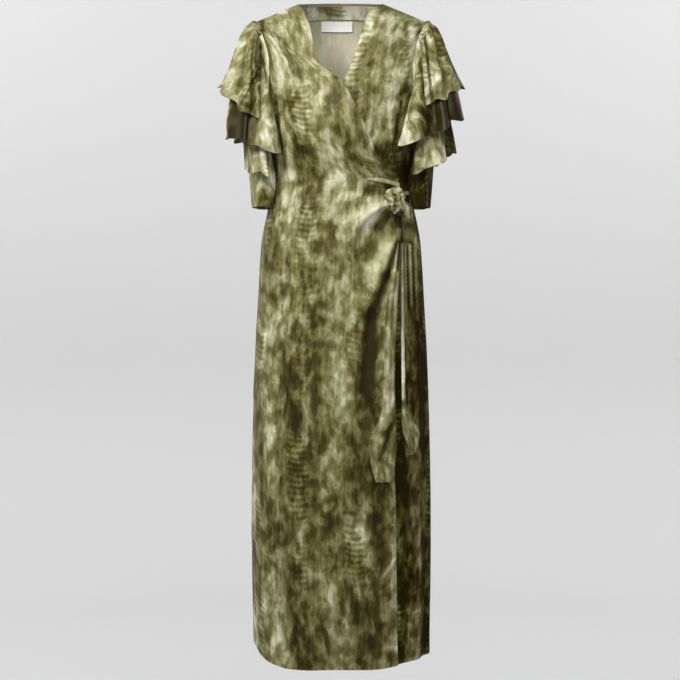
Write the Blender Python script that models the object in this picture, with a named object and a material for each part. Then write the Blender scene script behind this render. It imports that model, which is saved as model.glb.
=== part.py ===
# Wrap dress with layered flounce sleeves, held in its worn form and empty.
# Metres. +Z up, the front faces -Y, +X is the wearer's left.
# The origin is on the shoulder line, midway between the two neck points.
import math

import bmesh
import bpy
import numpy as np
from mathutils import Vector
from mathutils.bvhtree import BVHTree

# ---------------------------------------------------------------- driving sizes
WALL = 0.0018
SEAM_GAP = 0.0003
LAYER_GAP = 0.0033
NECK_HALF = 0.088
SHOULDER_SLOPE = 0.44
SHOULDER_SOFT = 0.045
SHOULDER_DROP = 0.10
SHOULDER_ROUND = 0.65
UNDERARM_HEIGHT = -0.225
ARM_HALF = 0.165
SIDE_GAP = 0.0016
ARMHOLE_GAP = 0.0016
KNOT_ANGLE = math.radians(42.0)
KNOT_PLACE = (0.1080, -0.417)
UNDER_EDGE = math.radians(-34.0)
UNDER_MARGIN = math.radians(10.0)
TIE_CLEAR = 0.0040

# Body of the dress at each height: half width, depth in front and behind.
# columns: height, half_width, front_depth, back_depth
TORSO = (
    (0.060, 0.178, 0.080, 0.078),
    (0.000, 0.178, 0.082, 0.080),
    (-0.060, 0.177, 0.088, 0.086),
    (-0.120, 0.172, 0.098, 0.090),
    (-0.180, 0.165, 0.112, 0.094),
    (-0.225, 0.160, 0.120, 0.096),
    (-0.270, 0.156, 0.124, 0.095),
    (-0.320, 0.148, 0.115, 0.090),
    (-0.378, 0.141, 0.100, 0.086),
    (-0.430, 0.153, 0.104, 0.098),
    (-0.490, 0.165, 0.111, 0.112),
    (-0.550, 0.170, 0.115, 0.121),
    (-0.620, 0.174, 0.118, 0.125),
    (-0.730, 0.180, 0.122, 0.126),
    (-0.830, 0.1835, 0.126, 0.126),
    (-1.040, 0.187, 0.132, 0.128),
    (-1.200, 0.186, 0.135, 0.130),
    (-1.300, 0.184, 0.137, 0.132),
    (-1.400, 0.184, 0.139, 0.133),
)

# Waist seam and hem line round the body (front centre 0, left side 90).
# columns: angle_deg, waist_height, hem_height
SEAM_LINES = (
    (-180.0, -0.372, -1.345),
    (-120.0, -0.372, -1.340),
    (-90.0, -0.374, -1.332),
    (-74.0, -0.376, -1.335),
    (-62.0, -0.377, -1.351),
    (0.0, -0.384, -1.361),
    (18.0, -0.388, -1.362),
    (50.0, -0.396, -1.356),
    (90.0, -0.390, -1.352),
    (120.0, -0.380, -1.347),
    (180.0, -0.372, -1.345),
)

# Armholes from the shoulder point down to the underarm, one side.
# columns: x_front, x_back, height
ARMHOLE = (
    (0.176, 0.176, -0.0370),
    (0.163, 0.166, -0.070),
    (0.151, 0.157, -0.110),
    (0.148, 0.154, -0.150),
    (0.151, 0.156, -0.190),
    (0.157, 0.159, -0.214),
    (0.160, 0.160, -0.225),
)

# Neck edges of the two front bodices, from the neck point to the waist.
# columns: x, height
NECK_OVER = (
    (-0.088, 0.000),
    (-0.075, -0.029),
    (-0.064, -0.059),
    (-0.057, -0.091),
    (-0.050, -0.121),
    (-0.037, -0.144),
    (-0.012, -0.164),
    (0.010, -0.190),
    (0.038, -0.245),
    (0.071, -0.320),
    (0.0960, -0.386),
)
NECK_UNDER = (
    (0.088, 0.000),
    (0.060, -0.026),
    (0.046, -0.056),
    (0.037, -0.090),
    (0.028, -0.122),
    (0.014, -0.156),
    (-0.006, -0.200),
    (-0.045, -0.290),
    (-0.080, -0.366),
)
NECK_BACK_RISE = 0.008
NECK_BACK_ARCH = 2

# Free edge of the over-skirt.
# columns: height, angle_deg
FREE_EDGE = (
    (-0.380, 42.0),
    (-0.500, 40.0),
    (-0.620, 38.6),
    (-0.830, 35.0),
    (-1.140, 35.6),
    (-1.370, 37.4),
)

# Largest folds of the over-skirt, fanning out of the knot.
# columns: x_start, z_start, x_mid, z_mid, x_end, z_end, width_start, width_end, height
DRAPE_FOLDS = (
    (0.090, -0.424, 0.030, -0.452, -0.030, -0.480, 0.012, 0.024, 0.0070),
    (0.092, -0.440, 0.052, -0.492, 0.010, -0.590, 0.010, 0.026, -0.0045),
    (0.104, -0.446, 0.072, -0.535, 0.012, -0.640, 0.012, 0.026, 0.0075),
    (0.104, -0.510, 0.072, -0.610, 0.036, -0.760, 0.009, 0.022, -0.0045),
    (0.110, -0.560, 0.088, -0.680, 0.066, -0.820, 0.010, 0.018, 0.0045),
)

# Upright flutes of the skirt, all round.
# columns: angle_deg, half_angle_deg, top_height, height_at_hem
SKIRT_FLUTES = (
    (-72.0, 9.0, -0.75, 0.0030),
    (-50.0, 8.0, -0.85, -0.0030),
    (-18.0, 10.0, -0.70, 0.0035),
    (6.0, 8.0, -0.90, -0.0025),
    (24.0, 8.0, -0.80, 0.0035),
    (56.0, 6.0, -0.46, 0.0040),
    (68.0, 5.0, -0.50, -0.0035),
    (79.0, 5.0, -0.46, 0.0035),
    (112.0, 10.0, -0.62, 0.0045),
    (138.0, 9.0, -0.60, -0.0035),
    (162.0, 9.0, -0.62, 0.0050),
    (-172.0, 8.0, -0.60, -0.0035),
    (-150.0, 9.0, -0.62, 0.0045),
    (-118.0, 10.0, -0.62, -0.0030),
)

# Inner sleeve, one side: how far each quarter of the armhole bulges and hangs.
# columns: turn_deg (0 outside, 90 front, 180 body, 270 back),
#          out_top, drop_top, out_hem, rise_hem
SLEEVE_HANDLES = (
    (0.0, 0.036, 0.024, 0.016, 0.170),
    (45.0, 0.030, 0.028, 0.012, 0.150),
    (90.0, 0.018, 0.040, 0.000, 0.120),
    (135.0, 0.004, 0.060, -0.022, 0.070),
    (180.0, 0.000, 0.070, -0.036, 0.060),
    (225.0, 0.004, 0.060, -0.022, 0.070),
    (270.0, 0.018, 0.040, 0.000, 0.120),
    (315.0, 0.030, 0.028, 0.012, 0.150),
    (360.0, 0.036, 0.024, 0.016, 0.170),
)
SLEEVE_HEM_X = 0.1705
SLEEVE_HEM_HALF = (0.0155, 0.062)
SLEEVE_HEM_HEIGHT = -0.427
SLEEVE_BODY_CLEAR = 0.0056

# Gathered flounces of each sleeve; angles count from the outside of the arm.
# columns: name, start_share, start_lift, start_front_deg, start_back_deg, hem_front_deg,
#          hem_back_deg, centre_x, hem_x_half, hem_y_half, front_in, z_outside, z_front,
#          z_back, near_share, near_out, far_share, far_out, waves, wave_depth, phase
FLOUNCES_LEFT = (
    ("upper", 0.010, 0.0024, 60.0, 88.0, 93.0, 101.0, 0.176, 0.073, 0.098, 0.000,
     -0.170, -0.220, -0.222, 0.05, 0.034, 0.44, 0.003, 5.5, 0.0100, 0.9),
    ("middle", 0.140, 0.0024, 94.0, 98.0, 130.0, 130.0, 0.176, 0.077, 0.104, 0.012,
     -0.232, -0.305, -0.290, 0.25, 0.017, 0.59, 0.017, 6.5, 0.0110, 2.0),
    ("lower", 0.420, 0.0024, 98.0, 98.0, 112.0, 112.0, 0.174, 0.060, 0.088, 0.006,
     -0.306, -0.362, -0.346, 0.25, 0.008, 0.59, 0.008, 5.5, 0.0090, 3.3),
)
FLOUNCES_RIGHT = (
    ("upper", 0.010, 0.0024, 60.0, 88.0, 97.0, 101.0, 0.176, 0.073, 0.098, 0.000,
     -0.170, -0.248, -0.222, 0.05, 0.034, 0.44, 0.003, 5.5, 0.0100, 0.3),
    ("middle", 0.140, 0.0024, 94.0, 98.0, 130.0, 130.0, 0.174, 0.056, 0.104, 0.012,
     -0.276, -0.316, -0.292, 0.25, 0.015, 0.59, 0.015, 6.5, 0.0110, 1.2),
    ("lower", 0.420, 0.0024, 98.0, 98.0, 112.0, 112.0, 0.167, 0.027, 0.086, 0.006,
     -0.343, -0.362, -0.346, 0.25, 0.007, 0.59, 0.007, 5.0, 0.0060, 4.4),
)
FLOUNCE_UNEVEN = (0.045, 2.7, 0.32, 1.9)
FLOUNCE_DIP = 0.005
FLOUNCE_ROWS = 6
FLOUNCE_COLUMNS = 37
FLOUNCE_SEAT = 0.0026
FLOUNCE_BODY_CLEAR = 0.0075
FLOUNCE_CLEAR = 0.0052

FACING_HEIGHT = 0.024
FACING_WALL = 0.0011
FACING_CLEAR = 0.0006
FACING_TOP_INSET = 0.0040
LABEL_ACROSS = -0.009
LABEL_SIZE = (0.067, 0.020)
LABEL_TOP = -0.024

KNOT_CENTRE_OUT = 0.0240
KNOT_SIZE = (0.0215, 0.0125, 0.0235)
KNOT_LOBES = 7
KNOT_LOBE_DEPTH = 0.12
SEAT_GAP = 0.0005

# Hanging tie ends, centre line and half width.
# columns: x, height, half_width, extra_out
TIE_LONG = (
    (0.1200, -0.4480, 0.0060, 0.0080),
    (0.1240, -0.500, 0.0050, 0.0050),
    (0.1250, -0.620, 0.0050, 0.0030),
    (0.1260, -0.740, 0.0055, 0.0030),
    (0.1270, -0.840, 0.0070, 0.0030),
    (0.1370, -0.885, 0.0180, 0.0035),
    (0.1400, -0.913, 0.0120, 0.0035),
    (0.1420, -0.934, 0.0050, 0.0035),
)
TIE_WIDE = (
    (0.1020, -0.4480, 0.0060, 0.0110),
    (0.0990, -0.520, 0.0100, 0.0090),
    (0.0970, -0.640, 0.0125, 0.0070),
    (0.0960, -0.760, 0.0130, 0.0060),
    (0.0960, -0.845, 0.0150, 0.0055),
    (0.0850, -0.898, 0.0280, 0.0055),
    (0.0840, -0.940, 0.0270, 0.0055),
    (0.0840, -0.986, 0.0160, 0.0055),
)


# ---------------------------------------------------------------- small tools
def clear_scene():
    """Empty the start-up scene."""
    for item in list(bpy.data.objects):
        bpy.data.objects.remove(item, do_unlink=True)


def column(table, index):
    """One column of a table as an array."""
    return np.array([row[index] for row in table], dtype=float)


def smooth(position, knots, values):
    """Cubic through the knots, with slopes taken from the neighbouring knots."""
    order = np.argsort(knots)
    knots = np.asarray(knots, dtype=float)[order]
    values = np.asarray(values, dtype=float)[order]
    slopes = np.gradient(values, knots)
    position = np.clip(position, knots[0], knots[-1])
    cell = np.clip(np.searchsorted(knots, position, side="right") - 1, 0, len(knots) - 2)
    step = knots[cell + 1] - knots[cell]
    t = (position - knots[cell]) / step
    start = (2 * t ** 3 - 3 * t ** 2 + 1) * values[cell] + (t ** 3 - 2 * t ** 2 + t) * step * slopes[cell]
    end = (3 * t ** 2 - 2 * t ** 3) * values[cell + 1] + (t ** 3 - t ** 2) * step * slopes[cell + 1]
    return start + end


def ease(value, low, high):
    """Soft step from 0 at low to 1 at high."""
    t = np.clip((value - low) / (high - low), 0.0, 1.0)
    return t * t * (3.0 - 2.0 * t)


def along(points, shares):
    """Points at the given shares of a polyline's length."""
    points = np.asarray(points, dtype=float)
    steps = np.linalg.norm(np.diff(points, axis=0), axis=1)
    run = np.concatenate(([0.0], np.cumsum(steps)))
    run = run / run[-1]
    return np.stack([np.interp(shares, run, points[:, k]) for k in range(points.shape[1])], axis=1)


# ---------------------------------------------------------------- the body of the dress
def torso_sizes(height):
    """Half width, front depth and back depth at a height."""
    levels = column(TORSO, 0)
    return [smooth(height, levels, column(TORSO, k)) for k in (1, 2, 3)]


def shoulder_height(x):
    """Height of the shoulder line above a place across the body."""
    level = math.hypot(NECK_HALF, SHOULDER_SOFT)
    return -SHOULDER_SLOPE * (np.sqrt(x ** 2 + SHOULDER_SOFT ** 2) - level)


def torso(angle, height):
    """Ellipse quarters round the body, closing towards the shoulder line."""
    half, front, back = torso_sizes(height)
    x = half * np.sin(angle)
    drop = np.clip((shoulder_height(x) - height) / SHOULDER_DROP, 0.0, 1.0)
    closing = (1.0 - (1.0 - drop) ** 2) ** SHOULDER_ROUND
    turn = np.cos(angle)
    y = np.where(turn >= 0.0, -front, -back) * turn * closing
    return np.stack([x, y, height], axis=-1)


def front_angle(x, height):
    """Angle of a front place given across and up."""
    half = torso_sizes(height)[0]
    return np.arcsin(np.clip(x / half, -1.0, 1.0))


def waist_height(angle):
    """Height of the waist seam."""
    return smooth(np.degrees(angle), column(SEAM_LINES, 0), column(SEAM_LINES, 1))


def hem_height(angle):
    """Height of the skirt hem."""
    return smooth(np.degrees(angle), column(SEAM_LINES, 0), column(SEAM_LINES, 2))


def armhole_line(side, behind):
    """Armhole from the shoulder point to the underarm, as angle and height."""
    levels = column(ARMHOLE, 2)
    shares = np.linspace(0.0, 1.0, 41) ** 0.9
    top = shoulder_height(ARMHOLE[0][0])
    height = top + (levels[-1] - top) * shares
    across = smooth(height, levels, column(ARMHOLE, 1 if behind else 0))
    angle = front_angle(across, height)
    angle[-1] = math.pi / 2
    if behind:
        angle = math.pi - angle
    return np.stack([side * angle, height], axis=1)


def neck_line(table):
    """Front neck edge from the neck point down, as angle and height."""
    across = column(table, 0)
    height = column(table, 1)
    run = np.arange(len(across), dtype=float)
    fine = np.linspace(0.0, run[-1], 81)
    across = smooth(fine, run, across)
    height = smooth(fine, run, height)
    return np.stack([front_angle(across, height), height], axis=1)


def shoulder_line(side, behind):
    """Shoulder seam from the neck point to the shoulder point."""
    across = np.linspace(NECK_HALF, ARMHOLE[0][0], 21)
    height = shoulder_height(across)
    angle = front_angle(across, height)
    if behind:
        angle = math.pi - angle
    return np.stack([side * angle, height], axis=1)


def seam_between(start, end):
    """Waist seam from one angle to another."""
    angle = np.linspace(start, end, 61)
    return np.stack([angle, waist_height(angle)], axis=1)


def side_line(angle, low, high):
    """Upright line at one angle."""
    height = np.linspace(low, high, 31)
    return np.stack([np.full(31, angle), height], axis=1)


def patch(bottom, top, left, right, across, up):
    """Grid filled in between four edge lines, shares across and up."""
    low = along(bottom, across)[None, :, :]
    high = along(top, across)[None, :, :]
    first = along(left, up)[:, None, :]
    last = along(right, up)[:, None, :]
    u = across[None, :, None]
    v = up[:, None, None]
    corners = ((1 - v) * ((1 - u) * low[:, :1] + u * low[:, -1:])
               + v * ((1 - u) * high[:, :1] + u * high[:, -1:]))
    return (1 - v) * low + v * high + (1 - u) * first + u * last - corners


# ---------------------------------------------------------------- cloth walls
def grid_normals(points, wrap=False):
    """Unit normals of a grid, rows up and columns round."""
    if wrap:
        across = np.roll(points, -1, axis=1) - np.roll(points, 1, axis=1)
    else:
        across = np.gradient(points, axis=1)
    up = np.gradient(points, axis=0)
    normal = np.cross(across, up)
    return unit(normal)


def unit(vectors):
    """Vectors brought to length one."""
    return vectors / np.maximum(np.linalg.norm(vectors, axis=-1, keepdims=True), 1e-9)


def wall_object(name, outer, inner, wrap=False, colour=None):
    """Closed body between two grids, joined round its edges."""
    rows, columns = outer.shape[:2]
    count = rows * columns
    index = np.arange(count).reshape(rows, columns)
    following = np.roll(index, -1, axis=1) if wrap else index[:, 1:]
    here = index if wrap else index[:, :-1]
    a, b = here[:-1].ravel(), following[:-1].ravel()
    d, c = here[1:].ravel(), following[1:].ravel()
    faces = [np.stack([a, b, c, d], axis=1), np.stack([d, c, b, a], axis=1) + count]
    low_a, low_b = here[0], following[0]
    faces.append(np.stack([low_b, low_a, low_a + count, low_b + count], axis=1))
    high_a, high_b = here[-1], following[-1]
    faces.append(np.stack([high_a, high_b, high_b + count, high_a + count], axis=1))
    if not wrap:
        side_a, side_b = index[:-1, 0], index[1:, 0]
        faces.append(np.stack([side_a, side_b, side_b + count, side_a + count], axis=1))
        side_a, side_b = index[:-1, -1], index[1:, -1]
        faces.append(np.stack([side_b, side_a, side_a + count, side_b + count], axis=1))
    vertices = np.concatenate([outer.reshape(-1, 3), inner.reshape(-1, 3)])
    return mesh_object(name, vertices, np.concatenate(faces), colour)


def mesh_object(name, vertices, faces, colour):
    """Object from points and faces, all facing outwards."""
    mesh = bpy.data.meshes.new(name)
    mesh.from_pydata(vertices.tolist(), [], [tuple(face) for face in faces.tolist()])
    mesh.validate()
    work = bmesh.new()
    work.from_mesh(mesh)
    bmesh.ops.triangulate(work, faces=work.faces[:], quad_method="SHORT_EDGE")
    bmesh.ops.recalc_face_normals(work, faces=work.faces[:])
    if work.calc_volume(signed=True) < 0.0:
        bmesh.ops.reverse_faces(work, faces=work.faces[:])
    work.to_mesh(mesh)
    work.free()
    mesh.shade_smooth()
    item = bpy.data.objects.new(name, mesh)
    bpy.context.scene.collection.objects.link(item)
    item.data.materials.append(material(name, colour))
    return item


def material(name, colour):
    """Plain material of one piece: colour, roughness, metallic."""
    red, green, blue, rough = colour
    finish = bpy.data.materials.new(name + "_cloth")
    finish.use_nodes = True
    shader = finish.node_tree.nodes["Principled BSDF"]
    shader.inputs["Base Color"].default_value = (red, green, blue, 1.0)
    shader.inputs["Roughness"].default_value = rough
    shader.inputs["Metallic"].default_value = 0.0
    return finish


PRINT_LIGHT = (0.235, 0.215, 0.105, 0.42)
PRINT_DARK = (0.190, 0.172, 0.082, 0.42)
PRINT_TIE = (0.270, 0.250, 0.130, 0.42)
LABEL_WHITE = (0.780, 0.760, 0.700, 0.60)


# ---------------------------------------------------------------- relief of the skirt
def fold_line(row):
    """Soft bend through three places, as across and up."""
    t = np.linspace(0.0, 1.0, 25)[:, None]
    start, middle, end = np.array(row[0:2]), np.array(row[2:4]), np.array(row[4:6])
    control = 2 * middle - 0.5 * (start + end)
    return (1 - t) ** 2 * start + 2 * t * (1 - t) * control + t ** 2 * end, t[:, 0]


def drape_relief(points):
    """Height of the folds that fan out of the knot."""
    flat = points[..., [0, 2]].reshape(-1, 2)
    total = np.zeros(len(flat))
    for row in DRAPE_FOLDS:
        line, share = fold_line(row)
        distance = np.linalg.norm(flat[:, None, :] - line[None, :, :], axis=2)
        nearest = np.argmin(distance, axis=1)
        away = distance[np.arange(len(flat)), nearest]
        place = share[nearest]
        width = row[6] + (row[7] - row[6]) * place
        fade = 1.0 - 0.55 * place
        total += row[8] * fade * np.exp(-(away / width) ** 2)
    return total.reshape(points.shape[:-1])


def flute_relief(angle, height):
    """Height of the upright flutes, growing towards the hem."""
    total = np.zeros(np.broadcast(angle, height).shape)
    for centre, half, top, rise in SKIRT_FLUTES:
        away = np.degrees(angle) - centre
        away = (away + 180.0) % 360.0 - 180.0
        growth = ease(-height, -top, 1.36)
        total += rise * growth * np.exp(-(away / half) ** 2)
    return total


def seam_normals(points, waist_row, shoulder_row, side_columns):
    """Grid normals, held in the seam plane along each seam."""
    normals = grid_normals(points)
    normals[waist_row, :, 2] = 0.0
    if shoulder_row is not None:
        sewn = points[shoulder_row, :, 1] ** 2 < 0.002 ** 2
        normals[shoulder_row, sewn, 1] = 0.0
    for edge in side_columns:
        low = points[:, edge, 2] < UNDERARM_HEIGHT + 0.004
        normals[low, edge, 1] = 0.0
    return unit(normals)


def panel_wall(name, points, lift, colour, waist_row, shoulder_row, side_columns):
    """Cloth wall on a grid: outer face lifted, inner face one wall further in."""
    outer = points + seam_normals(points, waist_row, shoulder_row, side_columns) * lift[..., None]
    inner = outer - seam_normals(outer, waist_row, shoulder_row, side_columns) * WALL
    return wall_object(name, outer, inner, colour=colour)


# ---------------------------------------------------------------- bodice
def over_share(angle):
    """Share of the over layer's ride above the body, full where it lies on the under layer."""
    return ease(angle, UNDER_EDGE - UNDER_MARGIN, UNDER_EDGE)


def bodice_over():
    """Right front bodice: side seam and armhole to the long neck edge."""
    across = np.linspace(0.0, 1.0, 17)
    up = 1.0 - (1.0 - np.linspace(0.0, 1.0, 15)) ** 1.3
    side = -math.pi / 2 + SIDE_GAP
    bottom = seam_between(side, KNOT_ANGLE)
    bottom[:, 1] += SEAM_GAP
    armhole = armhole_line(-1.0, False)[::-1]
    armhole[:, 0] = np.maximum(armhole[:, 0], side)
    left = np.concatenate([side_line(side, bottom[0, 1], UNDERARM_HEIGHT)[:-1], armhole])
    neck = neck_line(NECK_OVER)[::-1]
    neck[0] = (KNOT_ANGLE, bottom[-1, 1] + 0.010)
    right = np.concatenate([[bottom[-1]], neck])
    top = shoulder_line(-1.0, False)[::-1]
    grid = patch(bottom, top, left, right, across, up)
    points = torso(grid[..., 0], grid[..., 1])
    points[-1, :, 1] -= SEAM_GAP / 2
    crossing = ease(-grid[..., 1], 0.06, 0.13)
    lift = (WALL + LAYER_GAP) * np.maximum(over_share(grid[..., 0]), 0.0) * crossing
    return panel_wall("bodice_front_over", points, lift, PRINT_LIGHT, 0, -1, (0,))


def bodice_under():
    """Left front bodice: side seam and armhole to its neck edge under the other."""
    across = np.linspace(0.0, 1.0, 15)
    up = 1.0 - (1.0 - np.linspace(0.0, 1.0, 14)) ** 1.3
    side = math.pi / 2 - SIDE_GAP
    bottom = seam_between(side, UNDER_EDGE)
    bottom[:, 1] += SEAM_GAP
    armhole = armhole_line(1.0, False)[::-1]
    armhole[:, 0] = np.minimum(armhole[:, 0], side)
    left = np.concatenate([side_line(side, bottom[0, 1], UNDERARM_HEIGHT)[:-1], armhole])
    neck = neck_line(NECK_UNDER)[::-1]
    right = np.concatenate([[bottom[-1]], neck])
    top = shoulder_line(1.0, False)[::-1]
    grid = patch(bottom, top, left, right, across, up)[:, ::-1]
    points = torso(grid[..., 0], grid[..., 1])
    points[-1, :, 1] -= SEAM_GAP / 2
    lift = np.zeros(points.shape[:2])
    return panel_wall("bodice_front_under", points, lift, PRINT_DARK, 0, -1, (-1,))


def back_neck_line():
    """Back neck edge from the left neck point to the right one."""
    across = np.linspace(NECK_HALF, -NECK_HALF, 41)
    height = NECK_BACK_RISE * (1.0 - (across / NECK_HALF) ** NECK_BACK_ARCH)
    angle = math.pi - front_angle(across, height)
    return np.stack([angle, height], axis=1)


def back_top():
    """Top edge of the back: left shoulder seam, back neck, right shoulder seam."""
    left = shoulder_line(1.0, True)[::-1]
    right = shoulder_line(1.0, True)
    right[:, 0] = 2 * math.pi - right[:, 0]
    return np.concatenate([left[:-1], back_neck_line(), right[1:]])


def back_grid(columns, up):
    """Back bodice as angle and height, from the left side seam to the right one."""
    across = np.linspace(0.0, 1.0, columns)
    side = math.pi / 2 + SIDE_GAP
    angle = np.linspace(side, 2 * math.pi - side, 61)
    height = waist_height((angle + math.pi) % (2 * math.pi) - math.pi) + SEAM_GAP
    bottom = np.stack([angle, height], axis=1)
    armhole = armhole_line(1.0, True)[::-1]
    armhole[:, 0] = np.maximum(armhole[:, 0], side)
    left = np.concatenate([side_line(side, bottom[0, 1], UNDERARM_HEIGHT)[:-1], armhole])
    right = left.copy()
    right[:, 0] = 2 * math.pi - right[:, 0]
    right[0, 1] = bottom[-1, 1]
    return patch(bottom, back_top(), left, right, across, up)


def bodice_back():
    """Back bodice with its shoulder seams and back neck."""
    up = 1.0 - (1.0 - np.linspace(0.0, 1.0, 13)) ** 1.3
    grid = back_grid(25, up)
    points = torso(grid[..., 0], grid[..., 1])
    points[-1, :, 1] += SEAM_GAP / 2
    lift = np.zeros(points.shape[:2])
    return panel_wall("bodice_back", points, lift, PRINT_DARK, 0, -1, (0, -1))


# ---------------------------------------------------------------- skirt
def skirt_grid(start, end, columns, rows, free_edge=False):
    """Skirt piece between two angles, waist to hem."""
    share = np.linspace(0.0, 1.0, rows) ** 1.15
    across = np.linspace(0.0, 1.0, columns)
    last = np.full(rows, end)
    if free_edge:
        level = -0.385 - 0.975 * share
        last = np.radians(smooth(level, column(FREE_EDGE, 0), column(FREE_EDGE, 1)))
    angle = start + across[None, :] * (last[:, None] - start)
    wrapped = (angle + math.pi) % (2 * math.pi) - math.pi
    waist = waist_height(wrapped) - SEAM_GAP
    hem = hem_height(wrapped)
    height = waist + share[:, None] * (hem - waist)
    return angle[::-1], height[::-1]


def skirt_over():
    """Right front skirt with its drape folds and free edge."""
    angle, height = skirt_grid(-math.pi / 2 + SIDE_GAP, 0.0, 25, 25, True)
    points = torso(angle, height)
    stack = over_share(angle)
    settle = ease(-height, 0.376, 0.44)
    lift = stack * (WALL + LAYER_GAP + 0.0020 * settle)
    lift = lift + stack * settle * np.maximum(drape_relief(points), -0.0018)
    lift = lift + stack * np.maximum(flute_relief(angle, height), -0.0012)
    return panel_wall("skirt_front_over", points, lift, PRINT_LIGHT, -1, None, (0,))


def skirt_under():
    """Left front skirt, seen beside the free edge and running on beneath."""
    angle, height = skirt_grid(UNDER_EDGE, math.pi / 2 - SIDE_GAP, 15, 17)
    points = torso(angle, height)
    edge = np.radians(smooth(height, column(FREE_EDGE, 0), column(FREE_EDGE, 1)))
    seen = ease(angle - edge, 0.02, 0.14)
    near_side = 1.0 - ease(angle, math.radians(84.0), math.radians(89.0))
    lift = flute_relief(angle, height) * seen * near_side
    return panel_wall("skirt_front_under", points, lift, PRINT_DARK, -1, None, (-1,))


def skirt_back():
    """Back skirt from the left side seam to the right one."""
    angle, height = skirt_grid(math.pi / 2 + SIDE_GAP, 1.5 * math.pi - SIDE_GAP, 23, 16)
    points = torso(angle, height)
    seam = np.minimum(angle - math.pi / 2, 1.5 * math.pi - angle)
    lift = flute_relief(angle, height) * ease(seam, 0.0, 0.14)
    return panel_wall("skirt_back", points, lift, PRINT_DARK, -1, None, (0, -1))


# ---------------------------------------------------------------- sleeves
def clear_of_body(points, clearance):
    """Points pushed out of the body ellipse until they stand clear of it."""
    half, front, back = torso_sizes(points[..., 2])
    half = half + clearance
    depth = np.where(points[..., 1] < 0.0, front, back) + clearance
    reach = np.sqrt((points[..., 0] / half) ** 2 + (points[..., 1] / depth) ** 2)
    grow = np.maximum(1.0, 1.0 / np.maximum(reach, 1e-6))
    moved = points.copy()
    moved[..., 0] *= grow
    moved[..., 1] *= grow
    return moved


def armhole_ring(turn):
    """Places round the armhole: 0 shoulder, half turn underarm, front first."""
    turn = np.mod(turn, 2 * math.pi)
    front = armhole_line(1.0, False)
    back = armhole_line(1.0, True)
    share = turn / math.pi
    ahead = along(front, np.clip(share, 0.0, 1.0))
    behind = along(back, np.clip(2.0 - share, 0.0, 1.0))
    place = np.where((share <= 1.0)[:, None], ahead, behind)
    return torso(place[:, 0], place[:, 1])


def sleeve_surface(turn, share):
    """Inner sleeve: each line round the armhole hangs down to the sleeve hem."""
    start = armhole_ring(turn)
    start[:, 0] += ARMHOLE_GAP
    hem_x = SLEEVE_HEM_X + SLEEVE_HEM_HALF[0] * np.cos(turn)
    hem_y = -SLEEVE_HEM_HALF[1] * np.sin(turn)
    end = np.stack([hem_x, hem_y, np.full_like(turn, SLEEVE_HEM_HEIGHT)], axis=1)
    quarter = np.degrees(np.mod(turn, 2 * math.pi))
    handle = [smooth(quarter, column(SLEEVE_HANDLES, 0), column(SLEEVE_HANDLES, k)) for k in (1, 2, 3, 4)]
    first = start + np.stack([handle[0], 0.35 * (end[:, 1] - start[:, 1]), -handle[1]], axis=1)
    second = end + np.stack([handle[2], np.zeros_like(turn), handle[3]], axis=1)
    t = share[:, None, None]
    points = ((1 - t) ** 3 * start + 3 * t * (1 - t) ** 2 * first
              + 3 * t ** 2 * (1 - t) * second + t ** 3 * end)
    below = ease(-points[..., 2], -UNDERARM_HEIGHT - 0.03, -UNDERARM_HEIGHT)
    cleared = clear_of_body(points, SLEEVE_BODY_CLEAR)
    return points + (cleared - points) * below[..., None]


def mirrored(points, side):
    """Points for one side of the body."""
    moved = points.copy()
    moved[..., 0] *= side
    return moved


def away_from_arm(points, normals, side):
    """Sign of normals against the upright line through the arm."""
    axis = points * [0.0, 0.0, 1.0] + [ARM_HALF * side, 0.0, 0.0]
    return np.sign(np.sum(normals * (points - axis)))


def surface_tree(points, wrap, side):
    """Search tree of one grid, its faces turned away from the arm."""
    index = np.arange(points.shape[0] * points.shape[1]).reshape(points.shape[:2])
    following = np.roll(index, -1, axis=1) if wrap else index[:, 1:]
    here = index if wrap else index[:, :-1]
    quads = np.stack([here[:-1], following[:-1], following[1:], here[1:]], axis=-1).reshape(-1, 4)
    corner = points.reshape(-1, 3)[quads]
    facing = np.cross(corner[:, 1] - corner[:, 0], corner[:, 3] - corner[:, 0])
    if away_from_arm(corner[:, 0], facing, side) < 0.0:
        quads = quads[:, ::-1]
    return BVHTree.FromPolygons(points.reshape(-1, 3).tolist(), quads.tolist())


def inner_sleeve(name, side):
    """Straight inner sleeve as a tube open at both ends."""
    turn = np.linspace(0.0, 2 * math.pi, 22, endpoint=False)
    share = np.linspace(0.0, 1.0, 11) ** 1.15
    points = sleeve_surface(turn, share)
    normals = grid_normals(points, wrap=True)
    inner = points - normals * away_from_arm(points, normals, 1.0) * WALL
    wall_object(name, mirrored(points, side), mirrored(inner, side), wrap=True, colour=PRINT_DARK)
    return surface_tree(mirrored(points, side), True, side)


def flounce_wave(side, waves, phase):
    """Ripple along a flounce, its waves uneven in width and depth."""
    shift, shift_waves, swing, swing_waves = FLOUNCE_UNEVEN
    place = side + shift * np.sin(shift_waves * math.pi * side + 1.3 * phase)
    return np.cos(waves * math.pi * place + phase) * (1.0 + swing * np.sin(swing_waves * math.pi * side + 2.0 * phase))


def split_turn(side, front_degrees, back_degrees):
    """Turn round the arm, opened by one angle ahead of the arm and another behind it."""
    return np.radians(np.where(side > 0.0, front_degrees, back_degrees) * side)


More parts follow.
